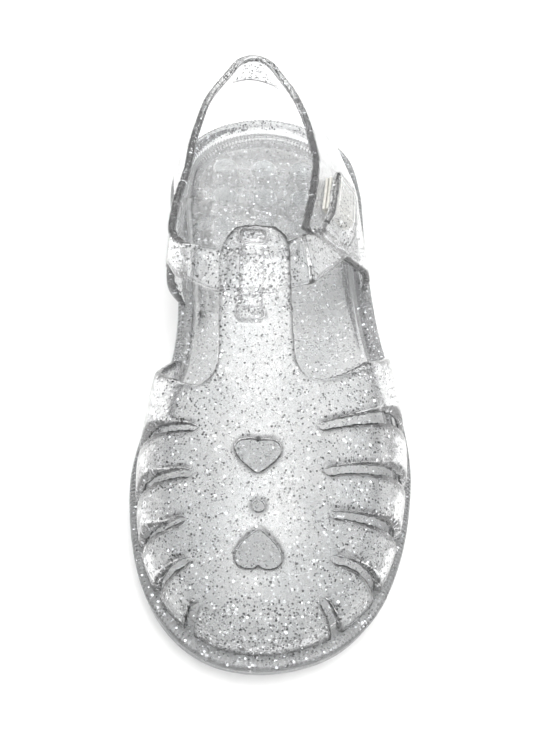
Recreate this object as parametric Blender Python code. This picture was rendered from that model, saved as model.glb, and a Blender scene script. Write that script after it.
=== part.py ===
# Jelly sandal: a clear moulded child's sandal, left foot, standing empty on its sole.
# +X is the outer (lateral) side, -Y the toe, +Y the heel, +Z up. Sizes are in metres.
import math

import bmesh
import bpy
import numpy as np

for old in list(bpy.data.objects):
    bpy.data.objects.remove(old, do_unlink=True)

# Named sizes
LENGTH = 0.1846            # outsole, toe to heel
BALL_WIDTH = 0.0740        # outsole across the ball, flange included
INSTEP = 0.0560            # height of the ankle strap above the floor at the instep
WALL = 0.0022              # thickness of the moulded upper
CLEAR = 0.0003             # gap between two pieces that meet
FLANGE_TOE = 0.0028        # ledge of the sole outside the vamp at the toe
FLANGE_SIDE = 0.0013       # and along the sides
RIM_LIP = 0.0008           # rim left inside the vamp's wall
BED_DEPTH = 0.0022         # footbed below the rim
RIB_DEPTH = 0.0004         # ribs of the side wall
RIB_COUNT = 120
TBAR_HALF = 0.0098         # half width of the T-bar
KEEPER_WIDTH = 0.0065
KEEPER_LEG = 0.0024
SLOT_END = 0.0009          # half width of a slot at its inner end
HEART_WIDTH = 0.0122
HEART_HEIGHT = 0.0106
RING_RADIUS = 0.0018
POCKET_RADIUS = 0.0039
POCKET_PITCH = 0.0114
POCKET_DEPTH = 0.0100
PATCH_WALL = 0.0008        # each half of the hook and loop closure

# Outline of the flange seen from above, clockwise from the toe tip:
# share of the ball width (outer side positive), share of the length (toe 0, heel 1)
OUTLINE = (
    (-0.031, 0.000), (0.108, 0.010), (0.232, 0.035), (0.330, 0.074), (0.400, 0.120),
    (0.457, 0.183), (0.491, 0.245), (0.511, 0.315), (0.510, 0.369), (0.490, 0.434),
    (0.452, 0.510), (0.413, 0.586), (0.388, 0.673), (0.374, 0.765), (0.365, 0.846),
    (0.320, 0.923), (0.187, 0.979), (0.000, 1.000), (-0.192, 0.979), (-0.330, 0.923),
    (-0.376, 0.846), (-0.368, 0.765), (-0.346, 0.684), (-0.332, 0.602), (-0.346, 0.521),
    (-0.395, 0.451), (-0.446, 0.380), (-0.474, 0.315), (-0.473, 0.250), (-0.454, 0.185),
    (-0.419, 0.128), (-0.362, 0.079), (-0.278, 0.037), (-0.168, 0.009),
)
# Heights along the sole as shares of the instep height:
# along, underside (toe spring, arch), rim
SOLE_RISE = (
    (0.00, 0.068, 0.170), (0.08, 0.030, 0.160), (0.18, 0.000, 0.155), (0.30, 0.000, 0.155),
    (0.42, 0.000, 0.168), (0.52, 0.036, 0.205), (0.62, 0.040, 0.250), (0.72, 0.000, 0.284),
    (0.85, 0.000, 0.314), (1.00, 0.000, 0.327),
)
# Crown of the vamp and T-bar: along, height as a share of the instep height, across share
CROWN = (
    (0.015, 0.464, -0.041), (0.060, 0.500, -0.043), (0.110, 0.546, -0.046),
    (0.166, 0.612, -0.050), (0.235, 0.690, -0.055), (0.300, 0.752, -0.060),
    (0.353, 0.807, -0.064), (0.407, 0.871, -0.068), (0.451, 0.934, -0.072),
    (0.489, 1.007, -0.076), (0.530, 1.115, -0.080), (0.565, 1.205, -0.084),
)


def smooth(table, column, at):
    """Value of a column of a table at a place along its first column, by a smooth curve."""
    xs = np.array([row[0] for row in table], float)
    ys = np.array([row[column] for row in table], float)
    at = np.clip(np.asarray(at, float), xs[0], xs[-1])
    gap = np.diff(xs)
    rise = np.diff(ys) / gap
    lean = np.empty(len(xs))
    lean[0], lean[-1] = rise[0], rise[-1]
    for i in range(1, len(xs) - 1):
        if rise[i - 1] * rise[i] <= 0:
            lean[i] = 0.0
        else:
            a, b = gap[i - 1], gap[i]
            lean[i] = 3 * (a + b) / ((2 * b + a) / rise[i - 1] + (b + 2 * a) / rise[i])
    i = np.clip(np.searchsorted(xs, at, side="right") - 1, 0, len(xs) - 2)
    t = (at - xs[i]) / gap[i]
    h = gap[i]
    return ((2 * t**3 - 3 * t**2 + 1) * ys[i] + (t**3 - 2 * t**2 + t) * h * lean[i]
            + (3 * t**2 - 2 * t**3) * ys[i + 1] + (t**3 - t**2) * h * lean[i + 1])


def along_to_y(along):
    return (np.asarray(along, float) - 0.5) * LENGTH


def y_to_along(y):
    return np.asarray(y, float) / LENGTH + 0.5


def curve_through(points, closed, step):
    """Even points along a smooth curve through the given ones."""
    pts = np.array(points, float)
    n = len(pts)
    fine = []
    last = n if closed else n - 1
    for i in range(last):
        p0 = pts[(i - 1) % n] if closed or i > 0 else 2 * pts[0] - pts[1]
        p1, p2 = pts[i], pts[(i + 1) % n]
        p3 = pts[(i + 2) % n] if closed or i < n - 2 else 2 * pts[-1] - pts[-2]
        for k in range(16):
            t = k / 16
            fine.append(0.5 * (2 * p1 + (p2 - p0) * t + (2 * p0 - 5 * p1 + 4 * p2 - p3) * t**2
                               + (3 * p1 - p0 - 3 * p2 + p3) * t**3))
    fine.append(pts[0] if closed else pts[-1])
    fine = np.array(fine)
    run = np.r_[0, np.cumsum(np.linalg.norm(np.diff(fine, axis=0), axis=1))]
    count = step if isinstance(step, int) else max(2, int(round(run[-1] / step)))
    at = np.linspace(0, run[-1], count + 1)
    even = np.column_stack([np.interp(at, run, fine[:, k]) for k in range(fine.shape[1])])
    return even[:-1] if closed else even


def sole_outline(count):
    pts = [(a * BALL_WIDTH, (b - 0.5) * LENGTH) for a, b in OUTLINE]
    return curve_through(pts, True, count)


def outward(curve):
    """Outward normals of a closed curve that runs clockwise from the toe by the outer side."""
    ahead = np.roll(curve, -1, axis=0) - np.roll(curve, 1, axis=0)
    normal = np.column_stack([ahead[:, 1], -ahead[:, 0]])
    return normal / np.linalg.norm(normal, axis=1)[:, None]


def flange(along):
    """Width of the ledge outside the vamp."""
    t = np.clip(np.asarray(along, float) / 0.16, 0, 1)
    return FLANGE_TOE + (FLANGE_SIDE - FLANGE_TOE) * t * t * (3 - 2 * t)


def rim_height(y):
    return smooth(SOLE_RISE, 2, y_to_along(y)) * INSTEP


def under_height(y):
    return smooth(SOLE_RISE, 1, y_to_along(y)) * INSTEP


POLE = 0.153               # where the ribs of the toe cap meet on the crown
VAMP_END = 0.565           # rear end of the vamp's form before the collar is cut
BULGE = 0.0030             # how far the inner side swells over the sole behind the ball


def crown_x(y):
    return smooth(CROWN, 2, y_to_along(y)) * BALL_WIDTH


def crown_z(y):
    return smooth(CROWN, 1, y_to_along(y)) * INSTEP


def feather_line(inset=0.0):
    """Foot of the vamp's outer face on the sole: dense closed curve and its normals."""
    line = sole_outline(720)
    normal = outward(line)
    return line - normal * (flange(y_to_along(line[:, 1])) + inset)[:, None], normal


def side_of(curve, outer, y):
    """Place on one side of a closed curve at a given distance along the foot."""
    half = len(curve) // 2
    part = curve[:half + 12] if outer else curve[half - 12:]
    order = np.argsort(part[:, 1])
    return np.interp(y, part[order, 1], part[order, 0])


def vamp_surface(foot, angle):
    """Outer face of the vamp above feather points (n, 2) at rib angles 0 (sole) to 90 (crown)."""
    foot = np.atleast_2d(foot)
    pole_y = along_to_y(POLE)
    top_y = np.maximum(foot[:, 1], pole_y)
    top = np.column_stack([crown_x(top_y), top_y])
    lean = np.clip((foot[:, 0] - crown_x(foot[:, 1])) / (0.42 * BALL_WIDTH), -1, 1)
    power = 2.2 - 0.2 * lean
    c, s = np.cos(angle), np.sin(angle)
    inward = 1 - np.maximum(c, 0) ** (2 / power)
    rise = np.maximum(s, 0) ** (2 / power)
    along = y_to_along(foot[:, 1])
    swell = BULGE * np.exp(-((along - 0.42) / 0.055) ** 2) * np.clip(-lean, 0.1, 1)
    out = swell * np.sin(2 * angle)
    toward = top - foot
    size = np.maximum(np.linalg.norm(toward, axis=1), 1e-9)
    plan = foot + toward * inward[:, None] - toward / size[:, None] * out[:, None]
    base = rim_height(foot[:, 1]) + CLEAR
    height = base + (crown_z(plan[:, 1]) - base) * rise
    return np.column_stack([plan, height])


def vamp_ribs(stations, toe_ribs):
    """Feet of the vamp's ribs: inner side rear to front, round the toe, outer side to the rear."""
    line, _ = feather_line()
    side_y = along_to_y(np.linspace(VAMP_END, POLE, stations))
    inner = np.column_stack([side_of(line, False, side_y), side_y])
    outer = np.column_stack([side_of(line, True, side_y), side_y])
    half = len(line) // 2
    tip = np.roll(line, half, axis=0)
    tip = tip[tip[:, 1] < side_y[-1]]
    tip = np.vstack([inner[-1], tip, outer[-1]])
    run = np.r_[0, np.cumsum(np.linalg.norm(np.diff(tip, axis=0), axis=1))]
    at = np.linspace(0, run[-1], toe_ribs + 1)[1:-1]
    toe = np.column_stack([np.interp(at, run, tip[:, 0]), np.interp(at, run, tip[:, 1])])
    return inner, toe, outer[::-1]


def vamp_depth(x, y, depth):
    """Point a given depth under the outer face of the vamp or T-bar, near the crown."""
    foot = np.array([[side_of(feather_line()[0], x > crown_x(y), y), y]])
    angle = np.linspace(0.5, math.pi / 2, 60)
    rib = np.vstack([vamp_surface(foot, np.array([a])) for a in angle])
    order = np.argsort(rib[:, 0])
    ahead = vamp_surface(foot + [[0, 0.001]], np.array([math.pi / 2]))[0]
    z = np.interp(x, rib[order, 0], rib[order, 2])
    z_out = np.interp(x + 0.001, rib[order, 0], rib[order, 2])
    slope_y = (ahead[2] - crown_z(y)) / 0.001
    normal = np.array([-(z_out - z) / 0.001, -slope_y, 1.0])
    normal = normal / np.linalg.norm(normal)
    return np.array([x, y, z]) - normal * depth


# Slots of the vamp: outer side (1) or inner (-1), then inner end, bend and mouth, each as
# across and along shares, then half widths at the end and at the mouth in millimetres
SLOTS = (
    (-1, -0.264, 0.277, -0.365, 0.296, -0.480, 0.332, 1.1, 2.0),
    (-1, -0.277, 0.217, -0.367, 0.229, -0.490, 0.254, 1.2, 1.9),
    (-1, -0.285, 0.160, -0.361, 0.163, -0.470, 0.184, 1.0, 1.8),
    (-1, -0.270, 0.112, -0.338, 0.109, -0.440, 0.097, 1.1, 2.0),
    (-1, -0.240, 0.066, -0.262, 0.048, -0.310, 0.000, 1.3, 2.2),
    (1, 0.154, 0.284, 0.315, 0.321, 0.500, 0.380, 1.2, 2.4),
    (1, 0.178, 0.225, 0.343, 0.255, 0.520, 0.298, 1.3, 1.9),
    (1, 0.195, 0.171, 0.331, 0.185, 0.500, 0.212, 1.2, 2.1),
    (1, 0.202, 0.119, 0.304, 0.122, 0.440, 0.108, 1.2, 2.2),
    (1, 0.171, 0.072, 0.222, 0.054, 0.330, 0.010, 1.3, 2.6),
)
# Collar: front edge of the opening at heights up the side: height share of the instep,
# along share on the inner side, along share on the outer side
COLLAR = (
    (0.09, 0.512, 0.530), (0.20, 0.510, 0.520), (0.30, 0.484, 0.500), (0.45, 0.430, 0.468),
    (0.54, 0.401, 0.440), (0.64, 0.366, 0.410), (0.72, 0.331, 0.356), (0.76, 0.328, 0.340),
    (1.40, 0.326, 0.336),
)
TBAR_END = 0.529
TBAR_CORNER = 0.0050
COLLAR_FILLET = 0.0078


def mesh_object(name, points, faces, where):
    mesh = bpy.data.meshes.new(name)
    mesh.from_pydata([tuple(p) for p in points], [], faces)
    mesh.update()
    body = bmesh.new()
    body.from_mesh(mesh)
    bmesh.ops.remove_doubles(body, verts=body.verts, dist=2e-6)
    bmesh.ops.dissolve_degenerate(body, edges=body.edges, dist=2e-6)
    bmesh.ops.triangulate(body, faces=body.faces)
    bmesh.ops.recalc_face_normals(body, faces=body.faces)
    if body.calc_volume(signed=True) < 0:
        bmesh.ops.reverse_faces(body, faces=body.faces)
    body.to_mesh(mesh)
    body.free()
    thing = bpy.data.objects.new(name, mesh)
    where.objects.link(thing)
    return thing


def wall_faces(rows, cols, offset):
    """Faces of a closed wall made from an outer grid and an inner grid stored after it."""
    faces = []
    size = rows * cols
    for r in range(rows - 1):
        for c in range(cols - 1):
            a, b = r * cols + c, r * cols + c + 1
            d, e = (r + 1) * cols + c, (r + 1) * cols + c + 1
            faces.append((offset + a, offset + b, offset + e, offset + d))
            faces.append((offset + size + a, offset + size + d, offset + size + e,
                          offset + size + b))
    edge = [(0, c) for c in range(cols)] + [(r, cols - 1) for r in range(1, rows)]
    edge += [(rows - 1, c) for c in range(cols - 2, -1, -1)]
    edge += [(r, 0) for r in range(rows - 2, 0, -1)]
    ring = [r * cols + c for r, c in edge]
    for i, a in enumerate(ring):
        b = ring[(i + 1) % len(ring)]
        faces.append((offset + a, offset + size + a, offset + size + b, offset + b))
    return faces


def prism(name, low, high, where):
    """Closed solid between a polygon and another with as many corners."""
    n = len(low)
    points = list(low) + list(high)
    faces = [tuple(range(n - 1, -1, -1)), tuple(range(n, 2 * n))]
    faces += [(i, (i + 1) % n, n + (i + 1) % n, n + i) for i in range(n)]
    return mesh_object(name, points, faces, where)


def level_stack(name, levels, where):
    """Closed solid through a stack of polygons that all have as many corners."""
    n = len(levels[0])
    points = [p for level in levels for p in level]
    faces = [tuple(range(n - 1, -1, -1)),
             tuple(range((len(levels) - 1) * n, len(levels) * n))]
    for k in range(len(levels) - 1):
        for i in range(n):
            j = (i + 1) % n
            faces.append((k * n + i, k * n + j, (k + 1) * n + j, (k + 1) * n + i))
    return mesh_object(name, points, faces, where)


def boolean(body, tool, kind):
    change = body.modifiers.new(tool.name, "BOOLEAN")
    change.operation = kind
    change.solver = "EXACT"
    change.object = tool
    bpy.context.view_layer.update()
    graph = bpy.context.evaluated_depsgraph_get()
    made = bpy.data.meshes.new_from_object(body.evaluated_get(graph))
    body.modifiers.clear()
    body.data = made


def tidy(body):
    """Weld and triangulate what the cuts leave."""
    made = body.data
    work = bmesh.new()
    work.from_mesh(made)
    bmesh.ops.remove_doubles(work, verts=work.verts, dist=1e-5)
    bmesh.ops.dissolve_degenerate(work, edges=work.edges, dist=1e-5)
    bmesh.ops.triangulate(work, faces=work.faces)
    work.to_mesh(made)
    work.free()


def make_sole(parts, cutters):
    """One moulding: sunk footbed, rim, flange, ribbed wall, arch, toe spring, heel pockets."""
    count = 2 * RIB_COUNT
    line = sole_outline(count)
    normal = outward(line)
    y = line[:, 1]
    rim = rim_height(y)
    under = under_height(y)
    seat = flange(y_to_along(y)) + WALL + RIM_LIP
    wave = np.where(np.arange(count) % 2 == 0, 0.0, RIB_DEPTH)
    rows = (
        (seat + 0.0006, rim - BED_DEPTH),
        (seat, rim - 0.0002),
        (0.0007 + 0 * y, rim),
        (0.0 * y, rim - 0.0007),
        (0.0 * y, rim - 0.0021),
        (0.0007 + wave, rim - 0.0027),
        (0.0011 + wave, under + 0.0012),
        (0.0019 + 0 * y, under),
    )
    points, faces = [], []
    for inset, height in rows:
        plan = line - normal * inset[:, None]
        points += [(p[0], p[1], h) for p, h in zip(plan, height)]
    for r in range(len(rows) - 1):
        for i in range(count):
            j = (i + 1) % count
            faces.append((r * count + i, r * count + j, (r + 1) * count + j,
                          (r + 1) * count + i))
    few = count // 4
    coarse = line[::4]

    def ring(inset_share, top):
        spine_y = np.clip(coarse[:, 1], along_to_y(0.17), along_to_y(0.86))
        spine_x = (side_of(line, True, spine_y) + side_of(line, False, spine_y)) / 2
        plan = coarse + (np.column_stack([spine_x, spine_y]) - coarse) * inset_share
        height = rim_height(plan[:, 1]) - BED_DEPTH if top else under_height(plan[:, 1])
        start = len(points)
        points.extend((p[0], p[1], h) for p, h in zip(plan, height))
        return start

    def fan(fine, rough):
        for k in range(few):
            a, b = rough + k, rough + (k + 1) % few
            for i in range(4):
                p = fine + 4 * k + i
                q = fine + (4 * k + i + 1) % count
                faces.append((p, q, a) if i < 2 else (p, q, b))
                if i == 1:
                    faces.append((q, a, b))

    def band(one, two):
        for k in range(few):
            m = (k + 1) % few
            faces.append((one + k, one + m, two + m, two + k))

    for top, fine in ((True, 0), (False, (len(rows) - 1) * count)):
        first = ring(0.28, top)
        second = ring(0.60, top)
        third = ring(0.86, top)
        fan(fine, first)
        band(first, second)
        band(second, third)
        # the innermost ring is closed straight across
        half = few // 2
        faces.append((third, third + 1, third + few - 1))
        for k in range(1, half - 1):
            faces.append((third + k, third + k + 1, third + few - k - 1, third + few - k))
        faces.append((third + half - 1, third + half, third + half + 1))
    body = mesh_object("sole", points, faces, parts)
    for row in (-1, 0, 1):
        for col in (-1, 0, 1):
            turn = [2 * math.pi * k / 14 for k in range(14)]
            x = col * POCKET_PITCH - 0.0006
            yy = along_to_y(0.855) + row * POCKET_PITCH
            ring_at = [(x + POCKET_RADIUS * math.cos(t), yy + POCKET_RADIUS * math.sin(t))
                       for t in turn]
            tool = prism(f"pocket_{row + 1}{col + 1}", [(a, b, -0.003) for a, b in ring_at],
                         [(a, b, POCKET_DEPTH) for a, b in ring_at], cutters)
            boolean(body, tool, "DIFFERENCE")
    tidy(body)
    return body


def make_vamp(parts, cutters):
    """Toe box, slots, hearts, T-bar and keeper as one moulded wall."""
    inner, toe, outer = vamp_ribs(18, 24)
    feet = np.vstack([inner, toe, outer])
    angles = np.linspace(0, math.pi / 2, 11)
    grid = np.stack([vamp_surface(feet, np.full(len(feet), a)) for a in angles], axis=1)
    fine = np.stack([vamp_surface(feet, np.full(len(feet), min(a + 0.01, math.pi / 2)))
                     - vamp_surface(feet, np.full(len(feet), max(a - 0.01, 0)))
                     for a in angles], axis=1)
    along = np.gradient(grid, axis=0)
    toe_first, toe_last = len(inner), len(inner) + len(toe)
    # along the crown the ribs of the toe cap share one point, so lean on the spine there
    along[toe_first - 1:toe_last + 1, -1] = 0
    normal = np.cross(fine, along)
    length = np.linalg.norm(normal, axis=2)
    crown_slope = np.gradient(grid[:, -1, 2]) / np.where(
        np.abs(np.gradient(grid[:, -1, 1])) < 1e-6, 1, np.gradient(grid[:, -1, 1]))
    pole_y = along_to_y(POLE)
    pole_slope = (crown_z(pole_y + 0.002) - crown_z(pole_y - 0.002)) / 0.004
    crown_slope[toe_first - 1:toe_last + 1] = pole_slope
    for i in range(len(feet)):
        lift = np.array([0.0, -crown_slope[i], 1.0])
        normal[i, -1] = lift
        length[i, -1] = np.linalg.norm(lift)
    normal /= np.maximum(length, 1e-12)[:, :, None]
    if normal[:, -3, 2].mean() < 0:
        normal[:, :-1] *= -1
    normal[:, 0, 2] = 0
    normal[:, 0] /= np.linalg.norm(normal[:, 0], axis=1)[:, None]
    inside = grid - normal * WALL
    inside[:, 0, 2] = grid[:, 0, 2]
    rows, cols = grid.shape[:2]
    points = [tuple(p) for p in grid.reshape(-1, 3)] + [tuple(p) for p in inside.reshape(-1, 3)]
    faces = []
    size = rows * cols
    for r in range(rows - 1):
        for c in range(cols - 1):
            a, b, d, e = r * cols + c, r * cols + c + 1, (r + 1) * cols + c, (r + 1) * cols + c + 1
            faces += [(a, b, e, d), (size + a, size + d, size + e, size + b)]
        faces.append((r * cols, (r + 1) * cols, size + (r + 1) * cols, size + r * cols))
    for last in (0, rows - 1):
        for c in range(cols - 1):
            a = last * cols + c
            faces.append((a, size + a, size + a + 1, a + 1))
    body = mesh_object("upper_vamp", points, faces, parts)
    boolean(body, collar_cutter(cutters), "DIFFERENCE")
    for k, row in enumerate(SLOTS):
        boolean(body, slot_cutter(k, row, cutters), "DIFFERENCE")
    for tool in heart_cutters(cutters):
        boolean(body, tool, "DIFFERENCE")
    tidy(body)
    boolean(body, keeper(cutters), "UNION")
    tidy(body)
    return body


def collar_cutter(cutters):
    """Everything behind the vamp that is not the T-bar, as one stack of outlines."""
    far, back = 0.08, along_to_y(0.95)
    end_y = along_to_y(TBAR_END)
    levels = []
    for share, inner_at, outer_at in COLLAR:
        z = share * INSTEP
        outline = []
        for side, front in ((-1, along_to_y(inner_at)), (1, along_to_y(outer_at))):
            edge = []
            edge.append((side * far, front))
            root_y = front + COLLAR_FILLET
            root_x = tbar_edge(side, root_y)
            for k in range(7):
                t = math.radians(90 * k / 6)
                edge.append((root_x + side * COLLAR_FILLET * (1 - math.sin(t)),
                             front + COLLAR_FILLET * (1 - math.cos(t))))
            top_y = end_y - TBAR_CORNER
            top_x = tbar_edge(side, end_y)
            for k in range(7):
                t = math.radians(90 * k / 6)
                edge.append((top_x - side * TBAR_CORNER * (1 - math.cos(t)),
                             top_y + TBAR_CORNER * math.sin(t)))
            outline.append(edge)
        loop = outline[0] + outline[1][::-1] + [(far, back), (-far, back)]
        levels.append([(x, y, z) for x, y in loop])
    return level_stack("collar", levels, cutters)


def tbar_edge(side, y):
    """Edge of the T-bar, which narrows a little towards its end."""
    along = float(y_to_along(y))
    half = TBAR_HALF + (0.36 - along) * 0.004
    centre = (-0.064 - 0.10 * (along - 0.36)) * BALL_WIDTH
    return centre + side * half


def slot_cutter(k, row, cutters):
    side, end_x, end_a, bend_x, bend_a, mouth_x, mouth_a, end_half, mouth_half = row
    spots = np.array([(end_x * BALL_WIDTH, along_to_y(end_a)),
                      (bend_x * BALL_WIDTH, along_to_y(bend_a)),
                      (mouth_x * BALL_WIDTH, along_to_y(mouth_a))], float)
    path = curve_through(spots, False, 6)
    run = np.linspace(0, 1, len(path))
    half = (end_half + (mouth_half - end_half) * run**1.3) * 0.001
    ahead = np.gradient(path, axis=0)
    ahead /= np.linalg.norm(ahead, axis=1)[:, None]
    left = np.column_stack([-ahead[:, 1], ahead[:, 0]])
    one = path + left * half[:, None]
    two = path - left * half[:, None]
    cap = []
    for j in range(1, 5):
        t = math.pi * j / 5
        cap.append(path[0] + half[0] * (left[0] * math.cos(t) - ahead[0] * math.sin(t)) * 1.0)
    outline = [tuple(p) for p in one[::-1]] + [tuple(p) for p in cap] + [tuple(p) for p in two]
    low = [(x, y, 0.004) for x, y in outline]
    high = [(x, y, 0.075) for x, y in outline]
    return prism(f"slot_{k}", low, high, cutters)


def heart(width, height, tip):
    """Heart outline; its tip points to the toe (tip -1) or to the heel (tip 1)."""
    points = []
    for k in range(22):
        t = 2 * math.pi * k / 22
        x = math.sin(t) ** 3
        y = (13 * math.cos(t) - 4.2 * math.cos(2 * t) - 1.6 * math.cos(3 * t)) / 15
        points.append((x * width / 2, y * height / 2 * (-tip)))
    return points


def heart_cutters(cutters):
    tools = []
    for name, at, tip in (("heart_rear", 0.234, -1), ("heart_front", 0.112, 1)):
        y = along_to_y(at)
        outline = heart(HEART_WIDTH, HEART_HEIGHT, tip)
        x0 = float(crown_x(y))
        low = [(x0 + x, y + v, float(crown_z(y)) - 0.012) for x, v in outline]
        high = [(x0 + x, y + v, float(crown_z(y)) + 0.012) for x, v in outline]
        tools.append(prism(name, low, high, cutters))
    y = along_to_y(0.167)
    x0 = float(crown_x(y))
    turn = [2 * math.pi * k / 14 for k in range(14)]
    ring = [(x0 + RING_RADIUS * math.cos(t), y + RING_RADIUS * math.sin(t)) for t in turn]
    tools.append(prism("ring_hole", [(a, b, float(crown_z(y)) - 0.01) for a, b in ring],
                       [(a, b, float(crown_z(y)) + 0.01) for a, b in ring], cutters))
    return tools


KEEPER_TOP = 0.5225         # upper and lower end of the keeper along the foot
KEEPER_LOW = 0.421
STRAP_TOP = 0.498          # edges of the ankle strap where it crosses the T-bar
STRAP_LOW = 0.454


def keeper(cutters):
    """Narrow bridge behind the T-bar that the ankle strap runs through."""
    x = -0.088 * BALL_WIDTH
    gap = WALL + 6 * CLEAR
    ys = np.linspace(along_to_y(KEEPER_LOW), along_to_y(KEEPER_TOP), 7)
    leg = KEEPER_LEG
    y_in = np.linspace(ys[0] + leg, ys[-1] - leg, 7)
    outer = [vamp_depth(x, y, 0.5 * WALL) for y in ys]
    window_out = [vamp_depth(x, y, 0.5 * WALL) for y in y_in]
    window_in = [vamp_depth(x, y, WALL + gap) for y in y_in]
    inner = [vamp_depth(x, y, WALL + gap + 0.0018) for y in ys]
    half = KEEPER_WIDTH / 2
    loop = ([p for p in outer[:1]] + [p for p in inner] + [p for p in outer[-1:]]
            + [window_out[-1]] + window_in[::-1] + [window_out[0]])
    low = [(x - half, p[1], p[2]) for p in loop]
    high = [(x + half, p[1], p[2]) for p in loop]
    return prism("keeper", low, high, cutters)


# Heel and ankle strap, from the front end of the outer quarter round the heel and the inner
# side to the instep: upper edge across, along, height, then lower edge across, along, height
# (height 0 stands on the rim, where across only names the side), then bow in millimetres
BAND = (
    (0.105, 0.580, 0.920, 1.0, 0.646, 0.0, 4.0),
    (0.138, 0.660, 0.902, 1.0, 0.705, 0.0, 3.0),
    (0.156, 0.730, 0.884, 1.0, 0.770, 0.0, 2.0),
    (0.146, 0.773, 0.873, 1.0, 0.819, 0.0, 1.5),
    (0.122, 0.834, 0.857, 0.318, 0.865, 0.36, 1.0),
    (0.081, 0.889, 0.845, 0.209, 0.919, 0.554, 0.5),
    (0.030, 0.934, 0.839, 0.095, 0.960, 0.620, 0.0),
    (-0.007, 0.962, 0.839, 0.012, 0.985, 0.632, 0.0),
    (-0.074, 0.976, 0.839, -0.078, 0.996, 0.634, 0.0),
    (-0.141, 0.964, 0.839, -0.165, 0.986, 0.632, 0.0),
    (-0.178, 0.937, 0.839, -0.235, 0.960, 0.620, 0.0),
    (-0.257, 0.873, 0.845, -0.318, 0.911, 0.554, 0.5),
    (-0.295, 0.812, 0.857, -0.365, 0.854, 0.36, 1.0),
    (-0.318, 0.763, 0.870, -1.0, 0.803, 0.0, 1.0),
    (-0.335, 0.706, 0.875, -1.0, 0.738, 0.0, 1.0),
    (-0.366, 0.644, 0.893, -1.0, 0.667, 0.0, 1.0),
    (-0.383, 0.590, 0.902, -1.0, 0.602, 0.0, 3.0),
    (-0.378, 0.563, 0.910, -0.378, 0.574, 0.640, 0.5),
    (-0.345, 0.541, 0.927, -0.350, 0.532, 0.710, 0.0),
    (-0.290, 0.530, 0.945, -0.295, 0.500, 0.800, 0.0),
)
# where the strap lies against the T-bar, across
CROSSING = (-0.236, -0.190, -0.165, -0.140, -0.080, -0.010, 0.045)
BAND_OUT = (0.102, 0.558, 0.960, 0.146, 0.503, 0.830, 0.0)
TAB_END = 0.727            # how far back the tab reaches
TAB_TOP, TAB_LOW = 0.10, 0.46   # its edges as shares of the quarter's height
PATCH_START = 0.630
BASE_INSET = 0.0010


def band_row(row):
    ax, aa, ah, bx, ba, bh, bow = row
    top = (ax * BALL_WIDTH, float(along_to_y(aa)), ah * INSTEP)
    y = float(along_to_y(ba))
    if bh == 0.0:
        low = rim_spot(bx > 0, y)
        flag = 1.0
    else:
        low = (bx * BALL_WIDTH, y, bh * INSTEP)
        flag = 0.0
    return list(top) + list(low) + [bow * 0.001, flag * 0.001]


def rim_spot(outer, y):
    line = sole_outline(720)
    line = line - outward(line) * BASE_INSET
    return (float(side_of(line, outer, y)), y, float(rim_height(y)) + CLEAR)


def band_columns():
    """Upper and lower edge of the strap, evenly spaced, as rows of seven numbers and a flag."""
    rows = [band_row(row) for row in BAND]
    for share in CROSSING:
        x = share * BALL_WIDTH
        depth = WALL + 2 * CLEAR + 0.0002
        beside = max(0.0, abs(share + 0.078) - 0.065)
        top = vamp_depth(x, float(along_to_y(STRAP_TOP + 0.30 * beside)), depth)
        low = vamp_depth(x, float(along_to_y(STRAP_LOW + 0.13 * beside)), depth)
        rows.append(list(top) + list(low) + [0.0, 0.0])
    rows.append(band_row(BAND_OUT))
    cols = curve_through(rows, False, 0.0034)
    for col in cols:
        if col[7] > 0.00098:
            col[3:6] = rim_spot(col[3] > 0, col[4])
        col[5] = max(col[5], float(rim_height(col[4])) + CLEAR)
    return cols


def column_out(cols):
    """Outward unit normal of the strap at each column, eased along it."""
    out = np.cross(np.gradient(cols[:, 0:3], axis=0), cols[:, 3:6] - cols[:, 0:3])
    out /= np.linalg.norm(out, axis=1)[:, None]
    away = cols[:, 0:3] - cols[:, 0:3].mean(axis=0)
    away[:, 2] = 0
    if np.sum(away * out) < 0:
        out = -out
    for _ in range(2):
        out[1:-1] = (out[:-2] + 2 * out[1:-1] + out[2:]) / 4
    return out / np.linalg.norm(out, axis=1)[:, None]


def sheet(cols, shares):
    """Grid of points between the edges of the strap, bowed outwards low down, and its normals."""
    top, low = cols[:, None, 0:3], cols[:, None, 3:6]
    v = np.asarray(shares, float)[None, :, None]
    out = column_out(cols)[:, None, :]
    bow = cols[:, None, 6:7]
    grid = top + (low - top) * v + out * bow * v**3 * (1 - v) / 0.105
    fall = (low - top) / np.linalg.norm(low - top, axis=2)[:, :, None]
    lean = bow * (3 * v**2 - 4 * v**3) / 0.105 / np.linalg.norm(low - top, axis=2)[:, :, None]
    normal = out - fall * lean
    return grid, normal / np.linalg.norm(normal, axis=2)[:, :, None]


def tab_grid(cols, ends):
    """Part of the outer quarter that the tab covers, and the quarter's outward normals there."""
    grid, normal = sheet(cols, np.linspace(ends[2], ends[3], 6))
    keep = [k for k in range(len(cols) // 2)
            if cols[k, 0] > 0 and along_to_y(ends[0]) <= cols[k, 1] <= along_to_y(ends[1])]
    return grid[keep], normal[keep], cols[keep]


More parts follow.
